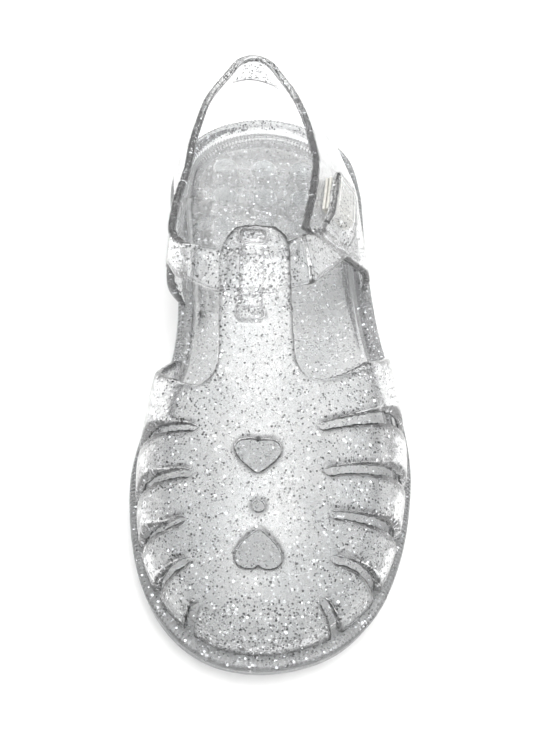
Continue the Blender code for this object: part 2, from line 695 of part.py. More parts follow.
def make_band(parts):
    """Both quarters, the heel strap and the ankle strap with its tab, as one wall."""
    cols = band_columns()
    shares = np.linspace(0, 1, 6)
    main, normal = sheet(cols, shares)
    tab, tab_normal, tab_cols = tab_grid(cols, (0.0, TAB_END, TAB_TOP, TAB_LOW))
    count = len(tab)
    full = 3 * CLEAR + 2 * PATCH_WALL + WALL
    near = WALL + CLEAR + 0.0002
    start = along_to_y(PATCH_START)
    first = tab_cols[0, 1]
    ease = np.clip((tab_cols[:, 1] - first) / (start - first), 0, 1)
    away = near + (full - near) * ease * ease * (3 - 2 * ease)
    tab = tab + tab_normal * away[:, None, None]
    for back, share in ((1, 0.26), (2, 0.10)):
        middle = tab[count - back].mean(axis=0)
        tab[count - back] += (middle - tab[count - back]) * share
    grid = np.concatenate([main, tab])
    normal = np.concatenate([normal, tab_normal])
    turn = len(main)
    for k in range(turn - 2, turn + 2):
        normal[k] = normal[turn - 3] + (normal[turn + 2] - normal[turn - 3]) * (k - turn + 3) / 5
        normal[k] /= np.linalg.norm(normal[k], axis=1)[:, None]
    inside = grid - normal * WALL
    on_rim = np.r_[cols[:, 7] > 0.00098, np.zeros(count, bool)]
    for k in np.nonzero(on_rim)[0]:
        inside[k, -1, 2] = grid[k, -1, 2]
    inside[:, -1, 2] = np.maximum(inside[:, -1, 2], rim_height(inside[:, -1, 1]) + CLEAR)
    rows, wide = grid.shape[:2]
    points = [tuple(p) for p in grid.reshape(-1, 3)] + [tuple(p) for p in inside.reshape(-1, 3)]
    body = mesh_object("upper_heel_strap", points, wall_faces(rows, wide, 0), parts)
    tidy(body)
    return body


def make_patch(name, parts, level):
    """One half of the closure, lying on the outer quarter (level 0) or on the tab (level 1)."""
    cols = band_columns()
    grid, normal, _ = tab_grid(cols, (PATCH_START, TAB_END - 0.012, TAB_TOP + 0.03,
                                      TAB_LOW - 0.03))
    low = CLEAR + level * (PATCH_WALL + CLEAR)
    outer = grid + normal * (low + PATCH_WALL)
    inner = grid + normal * low
    rows, wide = grid.shape[:2]
    points = [tuple(p) for p in outer.reshape(-1, 3)] + [tuple(p) for p in inner.reshape(-1, 3)]
    return mesh_object(name, points, wall_faces(rows, wide, 0), parts)


def finish(name, colour, rough, clear):
    look = bpy.data.materials.new(name)
    look.use_nodes = True
    node = look.node_tree.nodes["Principled BSDF"]
    node.inputs["Base Color"].default_value = colour
    node.inputs["Roughness"].default_value = rough
    node.inputs["Transmission Weight"].default_value = clear
    node.inputs["IOR"].default_value = 1.5
    return look


def dress(body, look):
    body.data.materials.clear()
    body.data.materials.append(look)
    for face in body.data.polygons:
        face.use_smooth = False


scene = bpy.context.scene
parts = bpy.data.collections.new("jelly_sandal")
cutters = bpy.data.collections.new("cutters")
scene.collection.children.link(parts)
scene.collection.children.link(cutters)

sole = make_sole(parts, cutters)
vamp = make_vamp(parts, cutters)
band = make_band(parts)
loop_patch = make_patch("loop_patch", parts, 0)
hook_patch = make_patch("hook_patch", parts, 1)

dress(sole, finish("clear_pvc_sole", (0.90, 0.92, 0.92, 1), 0.12, 0.9))
dress(vamp, finish("clear_pvc_vamp", (0.92, 0.93, 0.93, 1), 0.10, 0.9))
dress(band, finish("clear_pvc_strap", (0.92, 0.93, 0.93, 1), 0.10, 0.9))
dress(loop_patch, finish("loop_pile", (0.92, 0.91, 0.86, 1), 0.9, 0.0))
dress(hook_patch, finish("hook_tape", (0.90, 0.89, 0.84, 1), 0.6, 0.0))

for tool in list(cutters.objects):
    bpy.data.objects.remove(tool, do_unlink=True)
bpy.data.collections.remove(cutters)

pieces = [sole, vamp, band, loop_patch, hook_patch]
spots = np.array([tuple(v.co) for piece in pieces for v in piece.data.vertices])
middle = (spots.min(axis=0) + spots.max(axis=0)) / 2
for piece in pieces:
    for vertex in piece.data.vertices:
        vertex.co.x -= middle[0]
        vertex.co.y -= middle[1]
        vertex.co.z -= spots[:, 2].min()
    piece.data.update()
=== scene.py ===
# %% [markdown]
# # A child's clear glitter sandal
# The real sandal is moulded in soft clear PVC with silver glitter stirred into it: a thick sole,
# a slotted closed toe with a T-bar, and an ankle strap that closes on a hook and loop tape.
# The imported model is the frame. It gives the sizes and places, and this script rebuilds the
# visible pieces finer than the solids, with rounded edges, real clear plastic and glitter flakes.

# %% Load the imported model
import math

import bmesh
import bpy
import numpy as np
from mathutils import Matrix, Vector
from mathutils.bvhtree import BVHTree


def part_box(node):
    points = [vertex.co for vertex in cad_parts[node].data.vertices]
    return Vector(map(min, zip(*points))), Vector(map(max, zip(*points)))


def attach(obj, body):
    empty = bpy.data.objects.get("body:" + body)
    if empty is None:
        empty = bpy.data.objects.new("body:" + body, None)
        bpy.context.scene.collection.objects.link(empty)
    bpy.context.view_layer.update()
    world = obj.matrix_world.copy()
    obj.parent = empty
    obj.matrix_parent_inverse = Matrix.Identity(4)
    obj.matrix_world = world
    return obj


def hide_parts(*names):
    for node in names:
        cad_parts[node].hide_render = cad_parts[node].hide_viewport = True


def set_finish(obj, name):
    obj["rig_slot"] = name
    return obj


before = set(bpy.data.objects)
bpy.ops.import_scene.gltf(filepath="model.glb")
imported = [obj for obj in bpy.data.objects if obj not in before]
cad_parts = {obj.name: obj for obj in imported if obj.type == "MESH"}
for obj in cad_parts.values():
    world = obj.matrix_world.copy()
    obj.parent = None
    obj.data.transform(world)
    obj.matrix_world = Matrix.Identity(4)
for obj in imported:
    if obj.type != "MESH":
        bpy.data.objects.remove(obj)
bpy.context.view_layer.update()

print("frame nodes:", sorted(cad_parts))

# %% [markdown]
# ## The camera
# The photograph looks down at the shoe from in front of the toe, about fifty degrees above the
# floor. A long lens from that same place keeps the same perspective. The small roll stands the
# shoe upright in the frame, because in the photograph it stood to one side of the picture.

# %% Camera
CAMERA_AT = (-0.0283, -0.3268, 0.3993)
CAMERA_LOOKS_AT = (-0.0002, -0.0104, 0.0250)
CAMERA_LENS = 123.0
CAMERA_ROLL = math.radians(6.2)

camera_data = bpy.data.cameras.new("camera")
camera_data.lens = CAMERA_LENS
camera_data.sensor_width = 36.0
camera_data.sensor_fit = "HORIZONTAL"
camera = bpy.data.objects.new("camera", camera_data)
bpy.context.scene.collection.objects.link(camera)
aim = (Vector(CAMERA_LOOKS_AT) - Vector(CAMERA_AT)).to_track_quat("-Z", "Y").to_matrix()
camera.matrix_world = (Matrix.Translation(CAMERA_AT)
                       @ (aim @ Matrix.Rotation(CAMERA_ROLL, 3, "Z")).to_4x4())
bpy.context.scene.camera = camera
print("camera distance in mm:", round(1000 * (camera.location - Vector(CAMERA_LOOKS_AT)).length))

# %% [markdown]
# ## Named sizes
# These are the sizes that the solids were drawn from, in metres. The pieces below are drawn from
# the same values, so that they lie on the solids without any fitting by eye. Only the hearts are
# half a millimetre narrower and a little longer here, nearer to the real ones.

# %% Sizes
LENGTH = 0.1846
BALL_WIDTH = 0.0740
INSTEP = 0.0560
WALL = 0.0022
CLEAR = 0.0003
FLANGE_TOE = 0.0028
FLANGE_SIDE = 0.0013
RIM_LIP = 0.0008
BED_DEPTH = 0.0022
TBAR_HALF = 0.0098
KEEPER_WIDTH = 0.0065
KEEPER_LEG = 0.0024
HEART_WIDTH = 0.0117
HEART_HEIGHT = 0.0110
RING_RADIUS = 0.0018
POCKET_RADIUS = 0.0039
POCKET_PITCH = 0.0114
POCKET_DEPTH = 0.0100
PATCH_WALL = 0.0008
POLE = 0.153
VAMP_END = 0.565
BULGE = 0.0030
print("outsole length in mm:", 1000 * LENGTH)

# %% [markdown]
# ## Curves through a few drawn points
# A maker draws a last from a few measured stations and lets a smooth curve run through them.
# Two helpers do that here: one reads a value off a table, and one spaces points evenly along a
# curve. Straight lines between the stations would show as facets in clear plastic.

# %% Curve helpers
def smooth(table, column, at):
    """Value of a table's column at a place along its first column, by a smooth curve."""
    xs = np.array([row[0] for row in table], float)
    ys = np.array([row[column] for row in table], float)
    at = np.clip(np.asarray(at, float), xs[0], xs[-1])
    gap = np.diff(xs)
    rise = np.diff(ys) / gap
    lean = np.empty(len(xs))
    lean[0], lean[-1] = rise[0], rise[-1]
    for i in range(1, len(xs) - 1):
        if rise[i - 1] * rise[i] <= 0:
            lean[i] = 0.0
        else:
            a, b = gap[i - 1], gap[i]
            lean[i] = 3 * (a + b) / ((2 * b + a) / rise[i - 1] + (b + 2 * a) / rise[i])
    i = np.clip(np.searchsorted(xs, at, side="right") - 1, 0, len(xs) - 2)
    t, h = (at - xs[i]) / gap[i], gap[i]
    return ((2 * t**3 - 3 * t**2 + 1) * ys[i] + (t**3 - 2 * t**2 + t) * h * lean[i]
            + (3 * t**2 - 2 * t**3) * ys[i + 1] + (t**3 - t**2) * h * lean[i + 1])


def curve_through(points, closed, step):
    """Even points along a smooth curve; step is a spacing in metres or a whole number of steps."""
    pts = np.array(points, float)
    n = len(pts)
    fine = []
    for i in range(n if closed else n - 1):
        p0 = pts[(i - 1) % n] if closed or i > 0 else 2 * pts[0] - pts[1]
        p1, p2 = pts[i], pts[(i + 1) % n]
        p3 = pts[(i + 2) % n] if closed or i < n - 2 else 2 * pts[-1] - pts[-2]
        for k in range(16):
            t = k / 16
            fine.append(0.5 * (2 * p1 + (p2 - p0) * t + (2 * p0 - 5 * p1 + 4 * p2 - p3) * t**2
                               + (3 * p1 - p0 - 3 * p2 + p3) * t**3))
    fine.append(pts[0] if closed else pts[-1])
    fine = np.array(fine)
    run = np.r_[0, np.cumsum(np.linalg.norm(np.diff(fine, axis=0), axis=1))]
    count = step if isinstance(step, int) else max(2, int(round(run[-1] / step)))
    at = np.linspace(0, run[-1], count + 1)
    even = np.column_stack([np.interp(at, run, fine[:, k]) for k in range(fine.shape[1])])
    return even[:-1] if closed else even


half_way = float(smooth(((0, 0), (1, 1), (2, 4)), 1, 1.5))
print("half-way between 1 and 4, smoothly:", round(half_way, 2))

# %% [markdown]
# ## The outline of the sole
# Seen from above, the sole of this left shoe is nearly straight along the inner side and swells
# at the ball. The table gives shares of the ball width and of the length, clockwise from the toe.

# %% Sole outline
OUTLINE = (
    (-0.031, 0.000), (0.108, 0.010), (0.232, 0.035), (0.330, 0.074), (0.400, 0.120),
    (0.457, 0.183), (0.491, 0.245), (0.511, 0.315), (0.510, 0.369), (0.490, 0.434),
    (0.452, 0.510), (0.413, 0.586), (0.388, 0.673), (0.374, 0.765), (0.365, 0.846),
    (0.320, 0.923), (0.187, 0.979), (0.000, 1.000), (-0.192, 0.979), (-0.330, 0.923),
    (-0.376, 0.846), (-0.368, 0.765), (-0.346, 0.684), (-0.332, 0.602), (-0.346, 0.521),
    (-0.395, 0.451), (-0.446, 0.380), (-0.474, 0.315), (-0.473, 0.250), (-0.454, 0.185),
    (-0.419, 0.128), (-0.362, 0.079), (-0.278, 0.037), (-0.168, 0.009),
)


def along_to_y(along):
    return (np.asarray(along, float) - 0.5) * LENGTH


def y_to_along(y):
    return np.asarray(y, float) / LENGTH + 0.5


def sole_outline(count):
    return curve_through([(a * BALL_WIDTH, (b - 0.5) * LENGTH) for a, b in OUTLINE], True, count)


def outward(curve):
    """Outward normals of the outline."""
    ahead = np.roll(curve, -1, axis=0) - np.roll(curve, 1, axis=0)
    normal = np.column_stack([ahead[:, 1], -ahead[:, 0]])
    return normal / np.linalg.norm(normal, axis=1)[:, None]


def flange(along):
    """Width of the ledge that the sole leaves outside the vamp."""
    t = np.clip(np.asarray(along, float) / 0.16, 0, 1)
    return FLANGE_TOE + (FLANGE_SIDE - FLANGE_TOE) * t * t * (3 - 2 * t)


def side_of(curve, outer, y):
    """Place on one side of a closed curve at a given distance along the foot."""
    half = len(curve) // 2
    part = curve[:half + 12] if outer else curve[half - 12:]
    order = np.argsort(part[:, 1])
    return np.interp(y, part[order, 1], part[order, 0])


drawn = sole_outline(240)
sole_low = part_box("sole")[0]
SHIFT = np.array([sole_low.x - drawn[:, 0].min(), sole_low.y - drawn[:, 1].min(), 0.0])
print("drawn outline to frame, in mm:", np.round(1000 * SHIFT, 2))

# %% [markdown]
# ## Heights along the foot
# The sole springs up at the toe, thins at the ball, arches at the waist and is thick at the heel.
# The crown is the ridge line of the toe box, which climbs to the instep and becomes the T-bar.

# %% Heights
SOLE_RISE = (
    (0.00, 0.068, 0.170), (0.08, 0.030, 0.160), (0.18, 0.000, 0.155), (0.30, 0.000, 0.155),
    (0.42, 0.000, 0.168), (0.52, 0.036, 0.205), (0.62, 0.040, 0.250), (0.72, 0.000, 0.284),
    (0.85, 0.000, 0.314), (1.00, 0.000, 0.327),
)
CROWN = (
    (0.015, 0.464, -0.041), (0.060, 0.500, -0.043), (0.110, 0.546, -0.046),
    (0.166, 0.612, -0.050), (0.235, 0.690, -0.055), (0.300, 0.752, -0.060),
    (0.353, 0.807, -0.064), (0.407, 0.871, -0.068), (0.451, 0.934, -0.072),
    (0.489, 1.007, -0.076), (0.530, 1.115, -0.080), (0.565, 1.205, -0.084),
)


def rim_height(y):
    return smooth(SOLE_RISE, 2, y_to_along(y)) * INSTEP


def under_height(y):
    return smooth(SOLE_RISE, 1, y_to_along(y)) * INSTEP


def crown_x(y):
    return smooth(CROWN, 2, y_to_along(y)) * BALL_WIDTH


def crown_z(y):
    return smooth(CROWN, 1, y_to_along(y)) * INSTEP


print("heel seat in mm:", round(1000 * float(rim_height(along_to_y(0.9)) - BED_DEPTH), 1))

# %% [markdown]
# ## Tools for a moulded wall
# Moulded plastic has no sharp corners. Each wall is first a closed mesh with sharp edges, then it
# is turned into small even cells and smoothed, which rounds every edge by about half a
# millimetre. Bevels on meshes with many cuts would tear where the cuts run close together.

# %% Mesh helpers
def solid(name, points, faces):
    """A closed mesh object from points and faces."""
    mesh = bpy.data.meshes.new(name)
    mesh.from_pydata([tuple(p) for p in points], [], faces)
    body = bmesh.new()
    body.from_mesh(mesh)
    bmesh.ops.remove_doubles(body, verts=body.verts, dist=2e-6)
    bmesh.ops.dissolve_degenerate(body, edges=body.edges, dist=2e-6)
    bmesh.ops.triangulate(body, faces=[f for f in body.faces if len(f.verts) > 4])
    bmesh.ops.recalc_face_normals(body, faces=body.faces)
    if body.calc_volume(signed=True) < 0:
        bmesh.ops.reverse_faces(body, faces=body.faces)
    body.to_mesh(mesh)
    body.free()
    thing = bpy.data.objects.new(name, mesh)
    bpy.context.scene.collection.objects.link(thing)
    return thing


def level_stack(name, levels):
    """A closed solid through a stack of outlines that all have as many corners."""
    n = len(levels[0])
    faces = [tuple(range(n - 1, -1, -1)), tuple(range((len(levels) - 1) * n, len(levels) * n))]
    for k in range(len(levels) - 1):
        for i in range(n):
            j = (i + 1) % n
            faces.append((k * n + i, k * n + j, (k + 1) * n + j, (k + 1) * n + i))
    return solid(name, [p for level in levels for p in level], faces)


def combine(body, tool, kind):
    """Cut a tool out of a body, or weld it on, and remove the tool."""
    change = body.modifiers.new(tool.name, "BOOLEAN")
    change.operation, change.solver, change.object = kind, "EXACT", tool
    bpy.context.view_layer.update()
    made = bpy.data.meshes.new_from_object(
        body.evaluated_get(bpy.context.evaluated_depsgraph_get()))
    body.modifiers.clear()
    body.data = made
    bpy.data.objects.remove(tool, do_unlink=True)


print("mesh helpers:", solid.__name__, level_stack.__name__, combine.__name__)

# %% [markdown]
# ## Rounding and placing
# Smoothing moves each point towards the middle of its neighbours. A flat wall stays where it is,
# and only the edges give way. After that the piece is set on the frame, rides on its one body,
# stands for its solid and names the record's finish.

# %% Rounding and placing
ROUND_CELL, ROUND_PASSES, ROUND_PULL = 0.00050, 7, 0.6


def round_edges(body):
    """Even cells and a few smoothing passes, as a mould maker breaks every edge."""
    change = body.modifiers.new("cells", "REMESH")
    change.mode, change.voxel_size, change.adaptivity = "VOXEL", ROUND_CELL, 0.0
    bpy.context.view_layer.update()
    made = bpy.data.meshes.new_from_object(
        body.evaluated_get(bpy.context.evaluated_depsgraph_get()))
    body.modifiers.clear()
    body.data = made
    count = len(made.vertices)
    at = np.empty(count * 3)
    made.vertices.foreach_get("co", at)
    at = at.reshape(-1, 3)
    ends = np.empty(len(made.edges) * 2, int)
    made.edges.foreach_get("vertices", ends)
    a, b = ends[0::2], ends[1::2]
    degree = np.bincount(ends, minlength=count)[:, None]
    for _ in range(ROUND_PASSES):
        total = np.column_stack([np.bincount(a, at[b, k], count) + np.bincount(b, at[a, k], count)
                                 for k in range(3)])
        at += ROUND_PULL * (total / degree - at)
    made.vertices.foreach_set("co", at.ravel())
    made.update()


def place(piece, node, slot):
    """Set a piece on the frame in its solid's stead."""
    piece.data.transform(Matrix.Translation(SHIFT))
    for face in piece.data.polygons:
        face.use_smooth = True
    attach(piece, "root")
    if node:
        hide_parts(node)
    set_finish(piece, slot)
    faces = sum(len(face.vertices) - 2 for face in piece.data.polygons)
    low, high = np.array(piece.bound_box).min(0), np.array(piece.bound_box).max(0)
    print(piece.name, "triangles:", faces, "size in mm:", np.round(1000 * (high - low), 1))
    return piece


print("rounding cell in mm:", 1000 * ROUND_CELL, "passes:", ROUND_PASSES)

# %% [markdown]
# ## The sole
# One thick moulding: a sunk footbed, a rim, a ledge outside the vamp, and a side wall with fine
# upright ribs. It could be cut from a block, but a loft of rings round the outline keeps clean
# faces all round, and the ribs are a small wave in the rings of the side wall.

# %% Sole rings
RIB_PITCH = 0.00125
RIB_DEPTH = 0.00030
LEDGE_TICK = 0.00022
OUTLINE_ROUND = 0.4606
RIBS = int(round(OUTLINE_ROUND / RIB_PITCH))


def sole_rings(line, rib):
    """Inset and height of each ring from the footbed over the rim and down to the tread."""
    y = line[:, 1]
    rim, under = rim_height(y), under_height(y)
    seat = flange(y_to_along(y)) + WALL + RIM_LIP
    rows = [(seat + 0.0018, rim - BED_DEPTH), (seat + 0.0009, rim - BED_DEPTH + 0.00012),
            (seat + 0.0004, rim - BED_DEPTH + 0.0005), (seat + 0.0002, rim - 0.0010),
            (seat, rim - 0.0005), (seat - 0.00025, rim - 0.00015), (seat - 0.0006, rim),
            (0.0013 + 0 * y, rim), (0.0010 + 0 * y, rim - rib * LEDGE_TICK),
            (0.0006 + 0 * y, rim - 0.00012 - rib * LEDGE_TICK),
            (0.0002 + 0 * y, rim - 0.00045 - rib * LEDGE_TICK), (0 * y, rim - 0.0010),
            (0 * y, rim - 0.0017),
            (0.0002 + 0 * y, rim - 0.0022), (0.0006 + 0 * y, rim - 0.0025)]
    for t in np.linspace(0, 1, 7):
        top, low = rim - 0.0029, under + 0.0013
        rows.append((0.0010 + 0.0002 * t + rib * RIB_DEPTH * min(1, 6 * t), top + (low - top) * t))
    rows += [(0.0014 + 0 * y, under + 0.0006), (0.0018 + 0 * y, under + 0.0002),
             (0.0024 + 0 * y, under)]
    return rows


print("ribs round the sole:", RIBS)

# %% [markdown]
# The rings close over the footbed and the tread towards a spine in the middle, where four
# points of the rim share one point of the inner rings, so that the faces stay well shaped.

# %% Sole loft
SPINE_FRONT, SPINE_BACK = 0.17, 0.86
SPINE_SHARES = (0.22, 0.34, 0.46, 0.58, 0.70, 0.80, 0.88)


def loft_sole():
    count = 4 * RIBS
    line = sole_outline(count)
    normal = outward(line)
    rib = 0.5 - 0.5 * np.cos(2 * np.pi * np.arange(count) / 4)
    rows = sole_rings(line, rib)
    points, faces = [], []
    for inset, height in rows:
        plan = line - normal * inset[:, None]
        points += [(p[0], p[1], h) for p, h in zip(plan, height)]
    for r in range(len(rows) - 1):
        for i in range(count):
            j = (i + 1) % count
            faces.append((r * count + i, r * count + j, (r + 1) * count + j,
                          (r + 1) * count + i))
    few = count // 4
    coarse = line[::4]

    def ring(share, top):
        spine_y = np.clip(coarse[:, 1], along_to_y(SPINE_FRONT), along_to_y(SPINE_BACK))
        spine_x = (side_of(line, True, spine_y) + side_of(line, False, spine_y)) / 2
        plan = coarse + (np.column_stack([spine_x, spine_y]) - coarse) * share
        height = rim_height(plan[:, 1]) - BED_DEPTH if top else under_height(plan[:, 1])
        points.extend((p[0], p[1], h) for p, h in zip(plan, height))
        return len(points) - few

    for top, fine in ((True, 0), (False, (len(rows) - 1) * count)):
        rings = [ring(share, top) for share in SPINE_SHARES]
        for k in range(few):
            a, b = rings[0] + k, rings[0] + (k + 1) % few
            for i in range(4):
                p, q = fine + 4 * k + i, fine + (4 * k + i + 1) % count
                faces.append((p, q, a) if i < 2 else (p, q, b))
                if i == 1:
                    faces.append((q, a, b))
            m = (k + 1) % few
            faces += [(one + k, one + m, two + m, two + k) for one, two in zip(rings, rings[1:])]
        last, half = rings[-1], few // 2
        faces.append((last, last + 1, last + few - 1))
        faces += [(last + k, last + k + 1, last + few - k - 1, last + few - k)
                  for k in range(1, half - 1)]
        faces.append((last + half - 1, last + half, last + half + 1))
    print("rings:", len(rows), "points in a ring:", count)
    return solid("moulded_sole", points, faces)


sole = loft_sole()

# %% [markdown]
# ## The heel pockets
# Nine round pockets are cored out of the thick heel from below, which saves plastic and cools
# evenly. They show as soft grey rounds through the clear footbed. Each is cut with a turned plug
# that has a domed top, which is simpler than leading the loft round nine holes.

# %% Heel pockets
POCKET_DOME = 0.0014
POCKETS_X, POCKETS_AT = -0.0006, 0.855


def pocket_plug(x, y):
    """A round plug whose upper end is domed like a cored hole."""
    levels = [(POCKET_RADIUS + 0.0004, -0.003), (POCKET_RADIUS + 0.0002, 0.0002),
              (POCKET_RADIUS, 0.0010)]
    for t in np.radians((0, 25, 50, 70, 84)):
        levels.append((POCKET_RADIUS - 0.0013 + 0.0012 * math.cos(t),
                       POCKET_DEPTH - POCKET_DOME + POCKET_DOME * math.sin(t)))
    turn = np.linspace(0, 2 * np.pi, 36, endpoint=False)
    return level_stack("plug", [[(x + r * math.cos(a), y + r * math.sin(a), z) for a in turn]
                                for r, z in levels])


POCKET_SEATS = [(col * POCKET_PITCH + POCKETS_X, along_to_y(POCKETS_AT) + row * POCKET_PITCH)
                for row in (-1, 0, 1) for col in (-1, 0, 1)]
plugs = [pocket_plug(*seat) for seat in POCKET_SEATS]
for plug in plugs:
    combine(sole, plug, "DIFFERENCE")
place(sole, "sole", "clear_pvc_sole")

# %% [markdown]
# ## The shape of the toe box
# The wall rises from a line just inside the sole's edge and leans over to the crown. Each rib of
# the surface is a rounded arch; round the toe the ribs meet at one pole, as on a real last.

# %% Vamp surface
def vamp_surface(foot, angle):
    """Outer face above points of the foot line, at rib angles 0 (sole) to 90 degrees (crown)."""
    foot = np.atleast_2d(foot)
    top_y = np.maximum(foot[:, 1], along_to_y(POLE))
    top = np.column_stack([crown_x(top_y), top_y])
    lean = np.clip((foot[:, 0] - crown_x(foot[:, 1])) / (0.42 * BALL_WIDTH), -1, 1)
    power = 2.2 - 0.2 * lean
    c, s = np.cos(angle), np.sin(angle)
    inward = 1 - np.maximum(c, 0) ** (2 / power)
    rise = np.maximum(s, 0) ** (2 / power)
    along = y_to_along(foot[:, 1])
    out = BULGE * np.exp(-((along - 0.42) / 0.055) ** 2) * np.clip(-lean, 0.1, 1)
    out = out * np.sin(2 * angle)
    toward = top - foot
    size = np.maximum(np.linalg.norm(toward, axis=1), 1e-9)
    plan = foot + toward * inward[:, None] - toward / size[:, None] * out[:, None]
    base = rim_height(foot[:, 1]) + CLEAR
    return np.column_stack([plan, base + (crown_z(plan[:, 1]) - base) * rise])


OUTLINE_POINTS = 720
FOOT_LINE = sole_outline(OUTLINE_POINTS)
FOOT_LINE = FOOT_LINE - outward(FOOT_LINE) * flange(y_to_along(FOOT_LINE[:, 1]))[:, None]


def vamp_feet(stations, toe_ribs):
    """Feet of the ribs: inner side rear to front, round the toe, outer side to the rear."""
    side_y = along_to_y(np.linspace(VAMP_END, POLE, stations))
    inner = np.column_stack([side_of(FOOT_LINE, False, side_y), side_y])
    outer = np.column_stack([side_of(FOOT_LINE, True, side_y), side_y])
    tip = np.roll(FOOT_LINE, len(FOOT_LINE) // 2, axis=0)
    tip = np.vstack([inner[-1], tip[tip[:, 1] < side_y[-1]], outer[-1]])
    run = np.r_[0, np.cumsum(np.linalg.norm(np.diff(tip, axis=0), axis=1))]
    at = np.linspace(0, run[-1], toe_ribs + 1)[1:-1]
    toe = np.column_stack([np.interp(at, run, tip[:, 0]), np.interp(at, run, tip[:, 1])])
    return inner, toe, outer[::-1]


print("foot line points:", len(FOOT_LINE))

# %% [markdown]
# ## The wall of the vamp
# The inner face is the outer one moved in by the wall's thickness. At the crown the ribs crowd
# together, so the direction there comes from the slope of the crown line itself.

# %% Vamp wall
SIDE_RIBS, TOE_RIBS = 64, 84


def vamp_wall():
    inner, toe, outer = vamp_feet(SIDE_RIBS, TOE_RIBS)
    feet = np.vstack([inner, toe, outer])
    angles = np.linspace(0, math.pi / 2, 34)

    def ribs(shift):
        turned = [np.full(len(feet), np.clip(a + shift, 0, math.pi / 2)) for a in angles]
        return np.stack([vamp_surface(feet, a) for a in turned], axis=1)

    grid = ribs(0)
    normal = np.cross(ribs(0.01) - ribs(-0.01), np.gradient(grid, axis=0))
    step = np.gradient(grid[:, -1, 1])
    slope = np.gradient(grid[:, -1, 2]) / np.where(np.abs(step) < 1e-6, 1, step)
    pole = along_to_y(POLE)
    slope[len(inner) - 1:len(inner) + len(toe) + 1] = (
        crown_z(pole + 0.002) - crown_z(pole - 0.002)) / 0.004
    normal[:, -1] = np.column_stack([0 * slope, -slope, 0 * slope + 1])
    normal /= np.maximum(np.linalg.norm(normal, axis=2), 1e-12)[:, :, None]
    if normal[:, -3, 2].mean() < 0:
        normal[:, :-1] *= -1
    normal[:, 0, 2] = 0
    normal[:, 0] /= np.linalg.norm(normal[:, 0], axis=1)[:, None]
    inside = grid - normal * WALL
    inside[:, 0, 2] = grid[:, 0, 2]
    rows, cols = grid.shape[:2]
    size = rows * cols
    faces = []
    for r in range(rows - 1):
        for c in range(cols - 1):
            a, b, d, e = r * cols + c, r * cols + c + 1, (r + 1) * cols + c, (r + 1) * cols + c + 1
            faces += [(a, b, e, d), (size + a, size + d, size + e, size + b)]
        faces.append((r * cols, (r + 1) * cols, size + (r + 1) * cols, size + r * cols))
    for last in (0, rows - 1):
        faces += [(last * cols + c, size + last * cols + c, size + last * cols + c + 1,
                   last * cols + c + 1) for c in range(cols - 1)]
    return solid("slotted_vamp", np.vstack([grid.reshape(-1, 3), inside.reshape(-1, 3)]), faces)


vamp = vamp_wall()
print("vamp wall faces:", len(vamp.data.polygons))

# %% [markdown]
# ## The collar and the T-bar
# Behind the last strap the toe box stops at the collar, and only a narrow bar runs on up the
# instep. One tall cutter takes away everything that is not wall or bar; its corners at the foot
# of the bar are round, as in the mould.

# %% Collar cut
COLLAR = (
    (0.09, 0.512, 0.530), (0.20, 0.510, 0.520), (0.30, 0.484, 0.500), (0.45, 0.430, 0.468),
    (0.54, 0.401, 0.440), (0.64, 0.366, 0.410), (0.72, 0.331, 0.356), (0.76, 0.328, 0.340),
    (1.40, 0.326, 0.336),
)
TBAR_END = 0.529
TBAR_CORNER = 0.0050
COLLAR_FILLET = 0.0078


def tbar_edge(side, y):
    """Edge of the bar, which narrows a little towards its end."""
    along = float(y_to_along(y))
    centre = (-0.064 - 0.10 * (along - 0.36)) * BALL_WIDTH
    return centre + side * (TBAR_HALF + (0.36 - along) * 0.004)


def collar_cutter():
    far, end_y = 0.08, along_to_y(TBAR_END)
    levels = []
    for share, inner_at, outer_at in COLLAR:
        edges = []
        for side, front in ((-1, along_to_y(inner_at)), (1, along_to_y(outer_at))):
            root_x = tbar_edge(side, front + COLLAR_FILLET)
            edge = [(side * far, front)]
            for t in np.radians(np.linspace(0, 90, 13)):
                edge.append((root_x + side * COLLAR_FILLET * (1 - math.sin(t)),
                             front + COLLAR_FILLET * (1 - math.cos(t))))
            for t in np.radians(np.linspace(0, 90, 13)):
                edge.append((tbar_edge(side, end_y) - side * TBAR_CORNER * (1 - math.cos(t)),
                             end_y - TBAR_CORNER + TBAR_CORNER * math.sin(t)))
            edges.append(edge)
        back = along_to_y(0.95)
        loop = edges[0] + edges[1][::-1] + [(far, back), (-far, back)]
        levels.append([(x, y, share * INSTEP) for x, y in loop])
    return level_stack("collar", levels)


combine(vamp, collar_cutter(), "DIFFERENCE")
print("T-bar width in mm:", round(2000 * TBAR_HALF, 1), "faces left:", len(vamp.data.polygons))

# %% [markdown]
# ## The slots
# Five slots a side leave the straps of the toe box between them. Each widens from a round inner
# end to the sole, and swings back a little, so it is a curved path with two edges and not a
# straight saw cut.

# %% Slots
SLOTS = (
    (-0.264, 0.277, -0.365, 0.296, -0.480, 0.332, 1.1, 2.0),
    (-0.277, 0.217, -0.367, 0.229, -0.490, 0.254, 1.2, 1.9),
    (-0.285, 0.160, -0.361, 0.163, -0.470, 0.184, 1.0, 1.8),
    (-0.270, 0.112, -0.338, 0.109, -0.440, 0.097, 1.1, 2.0),
    (-0.240, 0.066, -0.262, 0.048, -0.310, 0.000, 1.3, 2.2),
    (0.154, 0.284, 0.315, 0.321, 0.500, 0.380, 1.2, 2.4),
    (0.178, 0.225, 0.343, 0.255, 0.520, 0.298, 1.3, 1.9),
    (0.195, 0.171, 0.331, 0.185, 0.500, 0.212, 1.2, 2.1),
    (0.202, 0.119, 0.304, 0.122, 0.440, 0.108, 1.2, 2.2),
    (0.171, 0.072, 0.222, 0.054, 0.330, 0.010, 1.3, 2.6),
)
